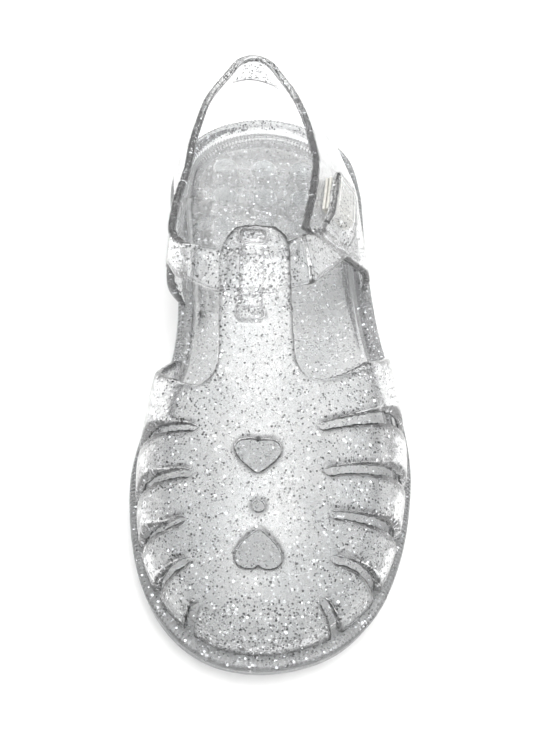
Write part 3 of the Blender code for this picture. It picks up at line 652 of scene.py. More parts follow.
# what the rounding of an edge takes away from the wall
ROUNDING = 0.0003
SLOT_LOW, SLOT_HIGH = 0.004, 0.075


def slot_cutter(row):
    """A tall cutter along the slot's path: inner end, bend and mouth, then its half widths."""
    end_x, end_a, bend_x, bend_a, mouth_x, mouth_a, end_half, mouth_half = row
    path = curve_through([(end_x * BALL_WIDTH, along_to_y(end_a)),
                          (bend_x * BALL_WIDTH, along_to_y(bend_a)),
                          (mouth_x * BALL_WIDTH, along_to_y(mouth_a))], False, 14)
    half = (end_half + (mouth_half - end_half) * np.linspace(0, 1, len(path)) ** 1.3) * 0.001
    half = half - ROUNDING
    ahead = np.gradient(path, axis=0)
    ahead /= np.linalg.norm(ahead, axis=1)[:, None]
    left = np.column_stack([-ahead[:, 1], ahead[:, 0]])
    cap = [path[0] + half[0] * (left[0] * math.cos(t) - ahead[0] * math.sin(t))
           for t in np.linspace(0, math.pi, 10)[1:-1]]
    loop = [*(path + left * half[:, None])[::-1], *cap, *(path - left * half[:, None])]
    return level_stack("slot", [[(x, y, z) for x, y in loop] for z in (SLOT_LOW, SLOT_HIGH)])


for row in SLOTS:
    combine(vamp, slot_cutter(row), "DIFFERENCE")
print("slots:", len(SLOTS))

# %% [markdown]
# ## Two hearts and a ring
# Two small hearts and a round hole are let into the toe box, with the hearts' tips towards the
# hole between them. They could be drawn on the curved wall, but punching straight down gives the
# same walls as the straight pins of the mould.

# %% Hearts
def heart(width, height, tip):
    """Heart outline; its tip points to the toe (tip -1) or to the heel (tip 1)."""
    turn = np.linspace(0, 2 * np.pi, 48, endpoint=False)
    x = np.sin(turn) ** 3
    y = (13 * np.cos(turn) - 3.6 * np.cos(2 * turn) - 1.6 * np.cos(3 * turn)) / 15
    return np.column_stack([x * width / 2, y * height / 2 * -tip])


def punch(outline, along):
    """A straight pin through the crown with the given outline."""
    y = along_to_y(along)
    at = outline + [float(crown_x(y)), float(y)]
    return level_stack("pin", [[(a, b, float(crown_z(y)) + z) for a, b in at]
                               for z in (-0.012, 0.012)])


circle = np.linspace(0, 2 * np.pi, 32, endpoint=False)
ring_hole = (RING_RADIUS - ROUNDING) * np.column_stack([np.cos(circle), np.sin(circle)])
heart_size = (HEART_WIDTH - 2 * ROUNDING, HEART_HEIGHT - 2 * ROUNDING)
REAR_HEART_AT, RING_AT, FRONT_HEART_AT = 0.236, 0.167, 0.112
combine(vamp, punch(heart(*heart_size, -1), REAR_HEART_AT), "DIFFERENCE")
combine(vamp, punch(heart(*heart_size, 1), FRONT_HEART_AT), "DIFFERENCE")
combine(vamp, punch(ring_hole, RING_AT), "DIFFERENCE")
print("heart in mm:", round(1000 * HEART_WIDTH, 1), "by", round(1000 * HEART_HEIGHT, 1))

# %% [markdown]
# ## The keeper behind the T-bar
# A narrow bridge on the back of the bar holds the ankle strap, which slides through it. It is
# welded to the bar before the edges are rounded, so that the joint gets its own small fillet.

# %% Keeper
KEEPER_TOP, KEEPER_LOW = 0.5225, 0.421
STRAP_TOP, STRAP_LOW = 0.498, 0.454


def vamp_depth(x, y, depth):
    """A point a given depth under the outer face of the vamp or T-bar, near the crown."""
    foot = np.array([[side_of(FOOT_LINE, x > crown_x(y), y), y]])
    rib = np.vstack([vamp_surface(foot, np.array([a]))
                     for a in np.linspace(0.5, math.pi / 2, 60)])
    order = np.argsort(rib[:, 0])
    z, z_out = np.interp([x, x + 0.001], rib[order, 0], rib[order, 2])
    ahead = vamp_surface(foot + [[0, 0.001]], np.array([math.pi / 2]))[0]
    normal = np.array([-(z_out - z) / 0.001, -(ahead[2] - crown_z(y)) / 0.001, 1.0])
    return np.array([x, y, z]) - normal / np.linalg.norm(normal) * depth


def keeper():
    x, gap = -0.088 * BALL_WIDTH, WALL + 6 * CLEAR
    ys = np.linspace(along_to_y(KEEPER_LOW), along_to_y(KEEPER_TOP), 11)
    y_in = np.linspace(ys[0] + KEEPER_LEG, ys[-1] - KEEPER_LEG, 11)
    outer = [vamp_depth(x, y, 0.5 * WALL) for y in ys]
    window_out = [vamp_depth(x, y, 0.5 * WALL) for y in y_in]
    window_in = [vamp_depth(x, y, WALL + gap) for y in y_in]
    inner = [vamp_depth(x, y, WALL + gap + 0.0018) for y in ys]
    loop = outer[:1] + inner + outer[-1:] + [window_out[-1]] + window_in[::-1] + window_out[:1]
    half = KEEPER_WIDTH / 2
    return level_stack("keeper", [[(x + s, p[1], p[2]) for p in loop] for s in (-half, half)])


combine(vamp, keeper(), "UNION")
round_edges(vamp)
place(vamp, "upper_vamp", "clear_pvc_vamp")

# %% [markdown]
# ## The strap round the heel and ankle
# One long strap starts as the outer quarter, runs round the heel, becomes the inner quarter and
# crosses the instep through the keeper. Its upper and lower edges are the two lines in the
# table, in shares as before; where the lower edge stands on the sole its height is 0.

# %% Strap edges
BAND = (
    (0.105, 0.580, 0.920, 1.0, 0.646, 0.0, 4.0),
    (0.138, 0.660, 0.902, 1.0, 0.705, 0.0, 3.0),
    (0.156, 0.730, 0.884, 1.0, 0.770, 0.0, 2.0),
    (0.146, 0.773, 0.873, 1.0, 0.819, 0.0, 1.5),
    (0.122, 0.834, 0.857, 0.318, 0.865, 0.36, 1.0),
    (0.081, 0.889, 0.845, 0.209, 0.919, 0.554, 0.5),
    (0.030, 0.934, 0.839, 0.095, 0.960, 0.620, 0.0),
    (-0.007, 0.962, 0.839, 0.012, 0.985, 0.632, 0.0),
    (-0.074, 0.976, 0.839, -0.078, 0.996, 0.634, 0.0),
    (-0.141, 0.964, 0.839, -0.165, 0.986, 0.632, 0.0),
    (-0.178, 0.937, 0.839, -0.235, 0.960, 0.620, 0.0),
    (-0.257, 0.873, 0.845, -0.318, 0.911, 0.554, 0.5),
    (-0.295, 0.812, 0.857, -0.365, 0.854, 0.36, 1.0),
    (-0.318, 0.763, 0.870, -1.0, 0.803, 0.0, 1.0),
    (-0.335, 0.706, 0.875, -1.0, 0.738, 0.0, 1.0),
    (-0.366, 0.644, 0.893, -1.0, 0.667, 0.0, 1.0),
    (-0.383, 0.590, 0.902, -1.0, 0.602, 0.0, 3.0),
    (-0.378, 0.563, 0.910, -0.378, 0.574, 0.640, 0.5),
    (-0.345, 0.541, 0.927, -0.350, 0.532, 0.710, 0.0),
    (-0.290, 0.530, 0.945, -0.295, 0.500, 0.800, 0.0),
)
CROSSING = (-0.236, -0.190, -0.165, -0.140, -0.080, -0.010, 0.045)
BAND_OUT = (0.102, 0.558, 0.960, 0.146, 0.503, 0.830, 0.0)
BASE_INSET = 0.0010
# the strap rises again beside the keeper: where it starts, and by how much at either edge
RISE_CENTRE, RISE_STARTS, RISE_TOP, RISE_LOW = 0.078, 0.065, 0.30, 0.13
COLUMN_STEP = 0.0034
ON_RIM = 0.001


def rim_spot(outer, y):
    line = sole_outline(OUTLINE_POINTS)
    line = line - outward(line) * BASE_INSET
    return (float(side_of(line, outer, y)), y, float(rim_height(y)) + CLEAR)


def band_row(row):
    ax, aa, ah, bx, ba, bh, bow = row
    top = (ax * BALL_WIDTH, float(along_to_y(aa)), ah * INSTEP)
    y = float(along_to_y(ba))
    low = rim_spot(bx > 0, y) if bh == 0.0 else (bx * BALL_WIDTH, y, bh * INSTEP)
    return [*top, *low, bow * 0.001, ON_RIM if bh == 0.0 else 0.0]


def band_columns():
    """Upper and lower edge of the strap, evenly spaced, with its bow and a mark for the rim."""
    rows = [band_row(row) for row in BAND]
    for share in CROSSING:
        x, depth = share * BALL_WIDTH, WALL + 2 * CLEAR + 0.0002
        beside = max(0.0, abs(share + RISE_CENTRE) - RISE_STARTS)
        rows.append([*vamp_depth(x, float(along_to_y(STRAP_TOP + RISE_TOP * beside)), depth),
                     *vamp_depth(x, float(along_to_y(STRAP_LOW + RISE_LOW * beside)), depth),
                     0.0, 0.0])
    rows.append(band_row(BAND_OUT))
    cols = curve_through(rows, False, COLUMN_STEP)
    for col in cols:
        if col[7] > 0.98 * ON_RIM:
            col[3:6] = rim_spot(col[3] > 0, col[4])
        col[5] = max(col[5], float(rim_height(col[4])) + CLEAR)
    return cols


strap_cols = band_columns()
print("strap length in mm:", round(1000 * COLUMN_STEP * (len(strap_cols) - 1)))

# %% [markdown]
# ## The strap's sheet and its tab
# Between the two edges the strap is a sheet that bows out low down over the ankle. At its free
# end it turns back as a tab over the outer quarter, with the two halves of the hook and loop
# tape between them.

# %% Strap sheet
TAB_END, TAB_TOP, TAB_LOW, PATCH_START = 0.727, 0.10, 0.46, 0.630
PATCH_END = TAB_END - 0.012


def sheet(cols, shares):
    """Points between the edges of the strap, and the strap's outward directions."""
    top, low = cols[:, None, 0:3], cols[:, None, 3:6]
    out = np.cross(np.gradient(cols[:, 0:3], axis=0), cols[:, 3:6] - cols[:, 0:3])
    out /= np.linalg.norm(out, axis=1)[:, None]
    away = cols[:, 0:3] - cols[:, 0:3].mean(axis=0)
    away[:, 2] = 0
    out *= np.sign(np.sum(away * out))
    for _ in range(2):
        out[1:-1] = (out[:-2] + 2 * out[1:-1] + out[2:]) / 4
    out = (out / np.linalg.norm(out, axis=1)[:, None])[:, None, :]
    v = np.asarray(shares, float)[None, :, None]
    bow = cols[:, None, 6:7]
    height = np.linalg.norm(low - top, axis=2)[:, :, None]
    grid = top + (low - top) * v + out * bow * v**3 * (1 - v) / 0.105
    normal = out - (low - top) / height * bow * (3 * v**2 - 4 * v**3) / 0.105 / height
    return grid, normal / np.linalg.norm(normal, axis=2)[:, :, None]


def tab_grid(cols, start, end, top, low):
    """Part of the outer quarter that the tab covers, and its outward directions."""
    grid, normal = sheet(cols, np.linspace(top, low, 6))
    keep = [k for k in range(len(cols) // 2)
            if cols[k, 0] > 0 and along_to_y(start) <= cols[k, 1] <= along_to_y(end)]
    return grid[keep], normal[keep], cols[keep]


def finer(grid, rows, across):
    """A smooth grid with more rows and columns through the points of a coarse one."""
    def refine(line, times):
        flat = line.reshape(len(line), -1)
        t = np.linspace(0, len(flat) - 1, (len(flat) - 1) * times + 1)
        i = np.minimum(t.astype(int), len(flat) - 2)
        u = (t - i)[:, None]
        padded = np.vstack([2 * flat[0] - flat[1], flat, 2 * flat[-1] - flat[-2]])
        p0, p1, p2, p3 = padded[i], padded[i + 1], padded[i + 2], padded[i + 3]
        made = 0.5 * (2 * p1 + (p2 - p0) * u + (2 * p0 - 5 * p1 + 4 * p2 - p3) * u**2
                      + (3 * p1 - p0 - 3 * p2 + p3) * u**3)
        return made.reshape(len(t), *line.shape[1:])
    return refine(refine(grid, rows).swapaxes(0, 1), across).swapaxes(0, 1)


tape_length = float(along_to_y(PATCH_END) - along_to_y(PATCH_START))
print("tape length along the foot in mm:", round(1000 * tape_length, 1))

# %% [markdown]
# ## The strap's wall
# The tab eases away from the quarter until the tape fits under it. Then outer and inner face are
# made finer by a smooth curve and closed into one wall, and the edges are rounded as before.

# %% Strap wall
def wall_solid(name, outer, inner):
    """A closed wall between an outer grid and an inner one."""
    rows, cols = outer.shape[:2]
    size = rows * cols
    faces = []
    for r in range(rows - 1):
        for c in range(cols - 1):
            a, b, d, e = r * cols + c, r * cols + c + 1, (r + 1) * cols + c, (r + 1) * cols + c + 1
            faces += [(a, b, e, d), (size + a, size + d, size + e, size + b)]
    edge = [(0, c) for c in range(cols)] + [(r, cols - 1) for r in range(1, rows)]
    edge += [(rows - 1, c) for c in range(cols - 2, -1, -1)]
    edge += [(r, 0) for r in range(rows - 2, 0, -1)]
    ring = [r * cols + c for r, c in edge]
    faces += [(a, size + a, size + b, b) for a, b in zip(ring, ring[1:] + ring[:1])]
    return solid(name, np.vstack([outer.reshape(-1, 3), inner.reshape(-1, 3)]), faces)


def strap_wall():
    main, normal = sheet(strap_cols, np.linspace(0, 1, 6))
    tab, tab_normal, tab_cols = tab_grid(strap_cols, 0.0, TAB_END, TAB_TOP, TAB_LOW)
    first = tab_cols[0, 1]
    ease = np.clip((tab_cols[:, 1] - first) / (along_to_y(PATCH_START) - first), 0, 1)
    near, full = WALL + CLEAR + 0.0002, 3 * CLEAR + 2 * PATCH_WALL + WALL
    tab = tab + tab_normal * (near + (full - near) * ease * ease * (3 - 2 * ease))[:, None, None]
    for back, share in ((1, 0.26), (2, 0.10)):
        tab[-back] += (tab[-back].mean(axis=0) - tab[-back]) * share
    grid = np.concatenate([main, tab])
    normal = np.concatenate([normal, tab_normal])
    turn = len(main)
    for k in range(turn - 2, turn + 2):
        normal[k] = normal[turn - 3] + (normal[turn + 2] - normal[turn - 3]) * (k - turn + 3) / 5
        normal[k] /= np.linalg.norm(normal[k], axis=1)[:, None]
    inside = grid - normal * WALL
    on_rim = np.r_[strap_cols[:, 7] > 0.98 * ON_RIM, np.zeros(len(tab), bool)]
    inside[on_rim, -1, 2] = grid[on_rim, -1, 2]
    inside[:, -1, 2] = np.maximum(inside[:, -1, 2], rim_height(inside[:, -1, 1]) + CLEAR)
    return wall_solid("heel_and_ankle_strap", finer(grid, 4, 4), finer(inside, 4, 4))


strap = strap_wall()
round_edges(strap)
place(strap, "upper_heel_strap", "clear_pvc_strap")

# %% [markdown]
# ## The hook and loop tape
# Two tapes lie between the tab and the quarter, loops on the quarter and hooks under the tab.
# Single loops and hooks would take far more faces than they would show, so both are thin plates
# that follow the curve of the ankle, with small random ripples that are deeper on the loop half.

# %% Tapes
def tape(name, level, tufts, seed):
    """One half of the closure, with small random ripples for its loops or hooks."""
    grid, normal, _ = tab_grid(strap_cols, PATCH_START, PATCH_END, TAB_TOP + 0.03,
                               TAB_LOW - 0.03)
    low = CLEAR + level * (PATCH_WALL + CLEAR)
    grid, normal = finer(grid, 10, 14), finer(normal, 10, 14)
    rough = np.random.default_rng(seed).normal(0, tufts, grid.shape[:2])
    outer = grid + normal * (low + PATCH_WALL - np.abs(rough))[:, :, None]
    inner = grid + normal * (low + np.abs(rough))[:, :, None]
    return wall_solid(name, outer, inner)


loop_tape = place(tape("loop_tape", 0, 0.00007, 3), "loop_patch", "loop_pile")
hook_tape = place(tape("hook_tape_half", 1, 0.00004, 4), "hook_patch", "hook_tape")

# %% [markdown]
# ## The stitches of the tab
# The tape is sewn to the tab by one row of thread just inside its edge. A plain tube could stand
# for the row, but here each stitch dips into the plastic at both ends. The path carries its
# outward direction along, and the even spacing counts the turns of that direction too. So the
# stitches come out only about a quarter of a millimetre apart, and read as a fine beaded line.

# %% Stitches
# measured along the path together with its directions, so on the tab both come out far shorter
STITCH_STEP = 0.0022
PATH_STEP = 0.0004
THREAD = 0.00022


def stitch_row():
    """Stitches round the tape on the tab's outer face."""
    grid, normal, _ = tab_grid(strap_cols, PATCH_START, PATCH_END, TAB_TOP + 0.05,
                               TAB_LOW - 0.05)
    lift = 3 * CLEAR + 2 * PATCH_WALL + WALL
    face = finer(grid + normal * lift, 6, 6)
    out = finer(normal, 6, 6)
    rows, cols = face.shape[:2]
    edge = [(1, c) for c in range(1, cols - 1)] + [(r, cols - 2) for r in range(2, rows - 1)]
    edge += [(rows - 2, c) for c in range(cols - 3, 0, -1)]
    edge += [(r, 1) for r in range(rows - 3, 1, -1)]
    loop = np.array([np.r_[face[e], out[e]] for e in edge])
    path = curve_through(loop, True, PATH_STEP)
    each = int(round(STITCH_STEP / PATH_STEP))
    points, faces = [], []
    for start in range(0, len(path) - each, each):
        line = path[start:start + each]
        share = np.linspace(0, 1, len(line))
        arch = THREAD * (1.5 * np.sin(np.pi * share) - 0.9)
        centre = line[:, :3] + line[:, 3:] * arch[:, None]
        ahead = np.gradient(centre, axis=0)
        ahead /= np.linalg.norm(ahead, axis=1)[:, None]
        side = np.cross(ahead, line[:, 3:])
        size = THREAD * (0.55 + 0.45 * np.sin(np.pi * share))
        base = len(points)
        for k in range(len(line)):
            for t in np.linspace(0, 2 * np.pi, 8, endpoint=False):
                points.append(centre[k] + size[k] * (side[k] * math.cos(t)
                                                     + np.cross(side[k], ahead[k]) * math.sin(t)))
        for k in range(len(line) - 1):
            for i in range(8):
                j = (i + 1) % 8
                faces.append((base + 8 * k + i, base + 8 * k + j,
                              base + 8 * k + 8 + j, base + 8 * k + 8 + i))
        faces += [tuple(base + 7 - i for i in range(8)),
                  tuple(base + 8 * (len(line) - 1) + i for i in range(8))]
    mesh = bpy.data.meshes.new("tab_stitches")
    mesh.from_pydata([tuple(p) for p in points], [], faces)
    made = bpy.data.objects.new("tab_stitches", mesh)
    bpy.context.scene.collection.objects.link(made)
    print("stitches:", len(points) // (8 * each))
    return made


stitches = place(stitch_row(), None, "hook_tape")

# %% [markdown]
# ## The glitter
# Silver flakes are stirred into the melt. They lie nearly flat in the walls, some deeper and some
# tilted, so each catches the light on its own. A painted speckle would lie on the skin and have
# no depth, so each flake is a real six-sided chip inside the plastic. They are set closer at the
# tip, the sides and the straps than on the crown, which is a choice. With the black flakes below,
# this makes a painted shade, heavier at the sides and ends and lighter under the highlight on the
# crown.

# %% Glitter flakes
FLAKE_SIZE = (0.00014, 0.00034)
FLAKE_TILT = 0.45
FLAKE_DEPTH = 0.0004
FLAKE_ROOM = 0.00034
THIN_WALL = 0.0012
BED_LAYER = 0.0016
SPREAD_CROWN, SPREAD_SIDE, SPREAD_ENDS = 0.80, 1.0, 1.4
CROWN_HALF = 0.024
TIP_END, BAR_START = 0.06, 0.43


def spread(spots):
    """Flake density, a painted shade: few on the crown, more at the sides and the ends."""
    x, y = spots[:, 0] - SHIFT[0], spots[:, 1] - SHIFT[1]
    ends = (y > along_to_y(BAR_START)) | (y < along_to_y(TIP_END))
    side = np.clip(np.abs(x) / CROWN_HALF, 0, 1) ** 2
    return SPREAD_CROWN + SPREAD_SIDE * side + SPREAD_ENDS * ends


def sprinkle(name, piece, count, seed, top_only=False):
    """Six-sided flakes at random depths inside a finished piece, or close under its top."""
    rng = np.random.default_rng(seed)
    mesh = piece.data
    mesh.calc_loop_triangles()
    tris = np.empty(len(mesh.loop_triangles) * 3, int)
    mesh.loop_triangles.foreach_get("vertices", tris)
    tris = tris.reshape(-1, 3)
    at = np.empty(len(mesh.vertices) * 3)
    mesh.vertices.foreach_get("co", at)
    at = at.reshape(-1, 3)
    a, b, c = at[tris[:, 0]], at[tris[:, 1]], at[tris[:, 2]]
    across = np.cross(b - a, c - a)
    area = np.linalg.norm(across, axis=1)
    top = across[:, 2] > 0.8 * area
    wanted = area * (top if top_only else spread((a + b + c) / 3))
    pick = rng.choice(len(tris), 2 * count, p=wanted / wanted.sum())
    u, v = rng.random((2, 2 * count))
    u, v = np.where(u + v > 1, 1 - u, u), np.where(u + v > 1, 1 - v, v)
    spot = a[pick] + (b - a)[pick] * u[:, None] + (c - a)[pick] * v[:, None]
    normal = across[pick] / area[pick][:, None]
    tree = BVHTree.FromPolygons(at.tolist(), tris.tolist())
    chips = []
    for p, n in zip(spot, normal):
        hit = tree.ray_cast(Vector(p - n * 1e-5), Vector(-n), 0.03)
        if hit[0] is not None and hit[3] > THIN_WALL:
            deepest = min(BED_LAYER, hit[3]) if top_only else hit[3] - FLAKE_DEPTH
            middle = p - n * rng.uniform(FLAKE_DEPTH, deepest)
            if tree.find_nearest(Vector(middle))[3] > FLAKE_ROOM:
                chips.append((middle, n))
        if len(chips) == count:
            break
    middle, normal = (np.array(part) for part in zip(*chips))
    facing = normal + rng.normal(0, FLAKE_TILT, normal.shape)
    facing /= np.linalg.norm(facing, axis=1)[:, None]
    one = np.cross(facing, rng.normal(size=facing.shape))
    one /= np.linalg.norm(one, axis=1)[:, None]
    two = np.cross(facing, one)
    size = rng.uniform(*FLAKE_SIZE, len(middle))[:, None]
    turn = np.linspace(0, 2 * np.pi, 6, endpoint=False)
    corners = np.stack([middle + size * (one * math.cos(t) + two * math.sin(t)) for t in turn],
                       axis=1)
    mesh = bpy.data.meshes.new(name)
    mesh.from_pydata(corners.reshape(-1, 3).tolist(), [],
                     [tuple(range(6 * k, 6 * k + 6)) for k in range(len(middle))])
    made = bpy.data.objects.new(name, mesh)
    bpy.context.scene.collection.objects.link(made)
    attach(made, "root")
    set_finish(made, piece["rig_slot"])
    print(name, "flakes:", len(middle))
    return made


vamp_glitter = sprinkle("vamp_glitter", vamp, 9000, 11)
strap_glitter = sprinkle("strap_glitter", strap, 6500, 12)
sole_glitter = sprinkle("sole_glitter", sole, 3500, 13)
footbed_glitter = sprinkle("footbed_glitter", sole, 15000, 14, top_only=True)

# %% [markdown]
# ## Clear plastic
# Soft PVC bends light like glass, but its skin is never quite even: it copies the polish of the
# mould and shrinks a little as it cools. A slow bump gives that uneven skin, and the roughness
# drifts from polished to slightly dull. A rounded edge bends the light away and shows as a thin
# dark line. That could be left to the light alone; here a painted shade also darkens the base
# colour where the surface is sharply rounded, by a given amount, which makes the lines plain.

# %% Clear plastic
def new_finish(name):
    """A node material, its shader and a noise of the given grain."""
    look = bpy.data.materials.new(name)
    look.use_nodes = True
    tree = look.node_tree
    shader = tree.nodes["Principled BSDF"]
    place_node = tree.nodes.new("ShaderNodeTexCoord")

    def noise(scale, detail=3.0):
        node = tree.nodes.new("ShaderNodeTexNoise")
        node.inputs["Scale"].default_value = scale
        node.inputs["Detail"].default_value = detail
        tree.links.new(place_node.outputs["Object"], node.inputs["Vector"])
        return node

    def blend(node, dark, light, target):
        ramp = tree.nodes.new("ShaderNodeValToRGB")
        ramp.color_ramp.elements[0].position, ramp.color_ramp.elements[1].position = 0.35, 0.65
        ramp.color_ramp.elements[0].color, ramp.color_ramp.elements[1].color = dark, light
        tree.links.new(node.outputs["Fac"], ramp.inputs["Fac"])
        tree.links.new(ramp.outputs["Color"], target)

    def bump(node, strength, distance):
        made = tree.nodes.new("ShaderNodeBump")
        made.inputs["Strength"].default_value = strength
        made.inputs["Distance"].default_value = distance
        tree.links.new(node.outputs["Fac"], made.inputs["Height"])
        tree.links.new(made.outputs["Normal"], shader.inputs["Normal"])

    return look, shader, noise, blend, bump


def paint_rim_shade(look, shader, shade):
    """Paints shade into the base colour on the rounded edges only, where the light is bent away.
    """
    tree = look.node_tree
    shape = tree.nodes.new("ShaderNodeNewGeometry")
    ramp = tree.nodes.new("ShaderNodeValToRGB")
    flat, rim = ramp.color_ramp.elements
    flat.position, rim.position = RIM_STARTS, RIM_FULL
    flat.color, rim.color = (1, 1, 1, 1), (shade, shade, shade, 1)
    mix = tree.nodes.new("ShaderNodeVectorMath")
    mix.operation = "MULTIPLY"
    colour = shader.inputs["Base Color"].links[0].from_socket
    tree.links.new(shape.outputs["Pointiness"], ramp.inputs["Fac"])
    tree.links.new(ramp.outputs["Color"], mix.inputs[0])
    tree.links.new(colour, mix.inputs[1])
    tree.links.new(mix.outputs["Vector"], shader.inputs["Base Color"])


def clear_plastic(name, clear, dark, light, dull, skin, shade=0.30):
    """Clear PVC: transmission, two tints, roughness from and to, bump and painted shade of the
    rims.
    """
    look, shader, noise, blend, bump = new_finish(name)
    shader.inputs["Transmission Weight"].default_value = clear
    shader.inputs["IOR"].default_value = 1.46
    blend(noise(90), dark, light, shader.inputs["Base Color"])
    blend(noise(140), (dull[0],) * 3 + (1,), (dull[1],) * 3 + (1,), shader.inputs["Roughness"])
    bump(noise(220, 2.0), skin, 0.0004)
    paint_rim_shade(look, shader, shade)
    return look


# pointiness where the painted rim shade begins and where it is full
RIM_STARTS, RIM_FULL = 0.506, 0.535
PALE, BRIGHT = (0.93, 0.94, 0.945, 1), (0.985, 0.985, 0.985, 1)
MISTY = (0.91, 0.92, 0.93, 1)
# painted shade: the cored pockets take a greyer base colour for the light that their curved walls
# bend away
POCKET_SHADE_DARK, POCKET_SHADE_LIGHT = (0.66, 0.71, 0.72, 1), (0.84, 0.85, 0.85, 1)
# the last number of each call is the painted shade on the rounded rims, as a share of the base
# colour; footbed, pockets and tread take 0.30
vamp_look = clear_plastic("clear_pvc_vamp_look", 0.95, PALE, BRIGHT, (0.03, 0.10), 0.10, 0.05)
strap_look = clear_plastic("clear_pvc_strap_look", 0.93, PALE, BRIGHT, (0.02, 0.07), 0.08, 0.50)
sole_look = clear_plastic("clear_pvc_sole_look", 0.90, MISTY, PALE, (0.04, 0.12), 0.10, 0.62)
bed_look = clear_plastic("frosted_footbed_look", 0.76, PALE, BRIGHT, (0.04, 0.10), 0.12)
pocket_shade_look = clear_plastic("cored_pocket_painted_shade_look", 0.85, POCKET_SHADE_DARK, POCKET_SHADE_LIGHT, (0.10, 0.20), 0.16)
tread_look = clear_plastic("worn_tread_look", 0.82, PALE, BRIGHT, (0.25, 0.45), 0.25)
clear_looks = (vamp_look, strap_look, sole_look, bed_look, pocket_shade_look, tread_look)
print("clear finishes:", [look.name for look in clear_looks])

# %% [markdown]
# ## Glitter, tape and thread
# The flakes are thin silvered film, and a flake that faces a dark part of the room looks nearly
# black. That could be left to the light alone. Here a share of the flakes is painted black
# instead, a painted shade for that dark reflection: 58 percent in the strap, 40 in the toe box and
# 10 in the sole. The tapes are off-white nylon: soft pile, stiff hooks and a shiny thread.

# %% Glitter, tape and thread
# painted shade: black flakes stand for flakes that reflect a dark part of the room
PAINTED_SHADE_FLAKE = (0.02, 0.02, 0.022, 1)
SILVER_FLAKE, BRIGHT_FLAKE = (0.80, 0.81, 0.83, 1), (0.97, 0.97, 0.98, 1)
BRIGHT_FROM = 0.70


def glitter_look(name, painted_shade_share):
    """Silver film, of which the given share of flakes is painted black as painted shade."""
    look, shader, _, _, _ = new_finish(name)
    tree = look.node_tree
    shader.inputs["Metallic"].default_value = 1.0
    shader.inputs["Roughness"].default_value = 0.22
    island = tree.nodes.new("ShaderNodeNewGeometry")
    ramp = tree.nodes.new("ShaderNodeValToRGB")
    ramp.color_ramp.interpolation = "CONSTANT"
    ramp.color_ramp.elements[0].color = PAINTED_SHADE_FLAKE
    ramp.color_ramp.elements[1].position = painted_shade_share
    ramp.color_ramp.elements[1].color = SILVER_FLAKE
    ramp.color_ramp.elements.new(BRIGHT_FROM).color = BRIGHT_FLAKE
    tree.links.new(island.outputs["Random Per Island"], ramp.inputs["Fac"])
    tree.links.new(ramp.outputs["Color"], shader.inputs["Base Color"])
    return look


def fibre(name, dark, light, grain, rough, sheen):
    """Nylon in two tints, with the scale of its grain, its roughness and its sheen."""
    look, shader, noise, blend, bump = new_finish(name)
    shader.inputs["Roughness"].default_value = rough
    shader.inputs["Sheen Weight"].default_value = sheen
    blend(noise(grain), dark, light, shader.inputs["Base Color"])
    bump(noise(grain * 1.7, 4.0), 0.6, 0.0003)
    return look


# share of flakes painted black as shade in the toe box, the strap and the sole
flake_look = glitter_look("silver_glitter_look", 0.40)
heavy_shade_flake_look = glitter_look("heavy_painted_shade_glitter_look", 0.58)
slight_shade_flake_look = glitter_look("slight_painted_shade_glitter_look", 0.10)
pile_look = fibre("nylon_pile_look", (0.60, 0.59, 0.54, 1), (0.74, 0.73, 0.68, 1), 900, 0.95, 0.5)
hooks_look = fibre("nylon_hooks_look", (0.62, 0.61, 0.56, 1), (0.76, 0.75, 0.70, 1), 1500,
                   0.6, 0.1)
thread_look = fibre("nylon_thread_look", (0.72, 0.72, 0.70, 1), (0.92, 0.92, 0.90, 1), 2500,
                    0.4, 0.3)
print("tape and thread finishes:", pile_look.name, hooks_look.name, thread_look.name)

# %% [markdown]
# ## Dressing the pieces
# The sole wears four finishes: a milkier footbed with the wall round it, a scuffed tread, cored
# pockets with a painted shade in their base colour, and the polished rest. It could be split into
# four pieces, but it is one moulding, so each face gets its finish from its place and its
# direction.

# %% Dressing
FACES_UP = 0.8
POCKET_SIDE, POCKET_OVER = 0.0004, 0.0006
RIM_EDGE, UNDER_RIM, ON_TREAD = 0.0004, 0.0015, 0.0004


def dress(piece, *looks):
    piece.data.materials.clear()
    for look in looks:
        piece.data.materials.append(look)


def inner_wall(face, x, y):
    """True on the wall that runs round the sunk footbed."""
    low = 0.4 * rim_height(y) < face.center.z < rim_height(y) - RIM_EDGE
    return low and abs(face.normal.z) < FACES_UP and face.normal.x * x + face.normal.y * y < 0


def dress_sole(piece):
    dress(piece, sole_look, bed_look, tread_look, pocket_shade_look)
    mesh = piece.data
    for face in mesh.polygons:
        x, y = face.center.x - SHIFT[0], face.center.y - SHIFT[1]
        near = min(math.dist((x, y), seat) for seat in POCKET_SEATS)
        # faces of the cored pockets take the painted pocket shade
        if near < POCKET_RADIUS + POCKET_SIDE and face.center.z < POCKET_DEPTH + POCKET_OVER:
            face.material_index = 3
        elif inner_wall(face, x, y):
            face.material_index = 1
        elif face.normal.z > FACES_UP and face.center.z < rim_height(y) - UNDER_RIM:
            face.material_index = 1
        elif face.normal.z < -FACES_UP and face.center.z < under_height(y) + ON_TREAD:
            face.material_index = 2
    index = [face.material_index for face in mesh.polygons]
    print("sole faces:", {kind: index.count(k) for k, kind in
                          enumerate(("polished", "footbed", "tread", "pockets"))})


dress_sole(sole)
dress(vamp, vamp_look)
dress(strap, strap_look)
dress(loop_tape, pile_look)
dress(hook_tape, hooks_look)
dress(stitches, thread_look)
dress(vamp_glitter, flake_look)
dress(strap_glitter, heavy_shade_flake_look)
for flakes in (sole_glitter, footbed_glitter):
    dress(flakes, slight_shade_flake_look)

# %% [markdown]
# ## The floor
# A clear shoe is often shown on white paper that nearly burns out. The paper is a wide sheet with
# a faint tooth, so that it takes soft shadows without any pattern. It lies just under the sole,
# because two faces in one plane would flicker.

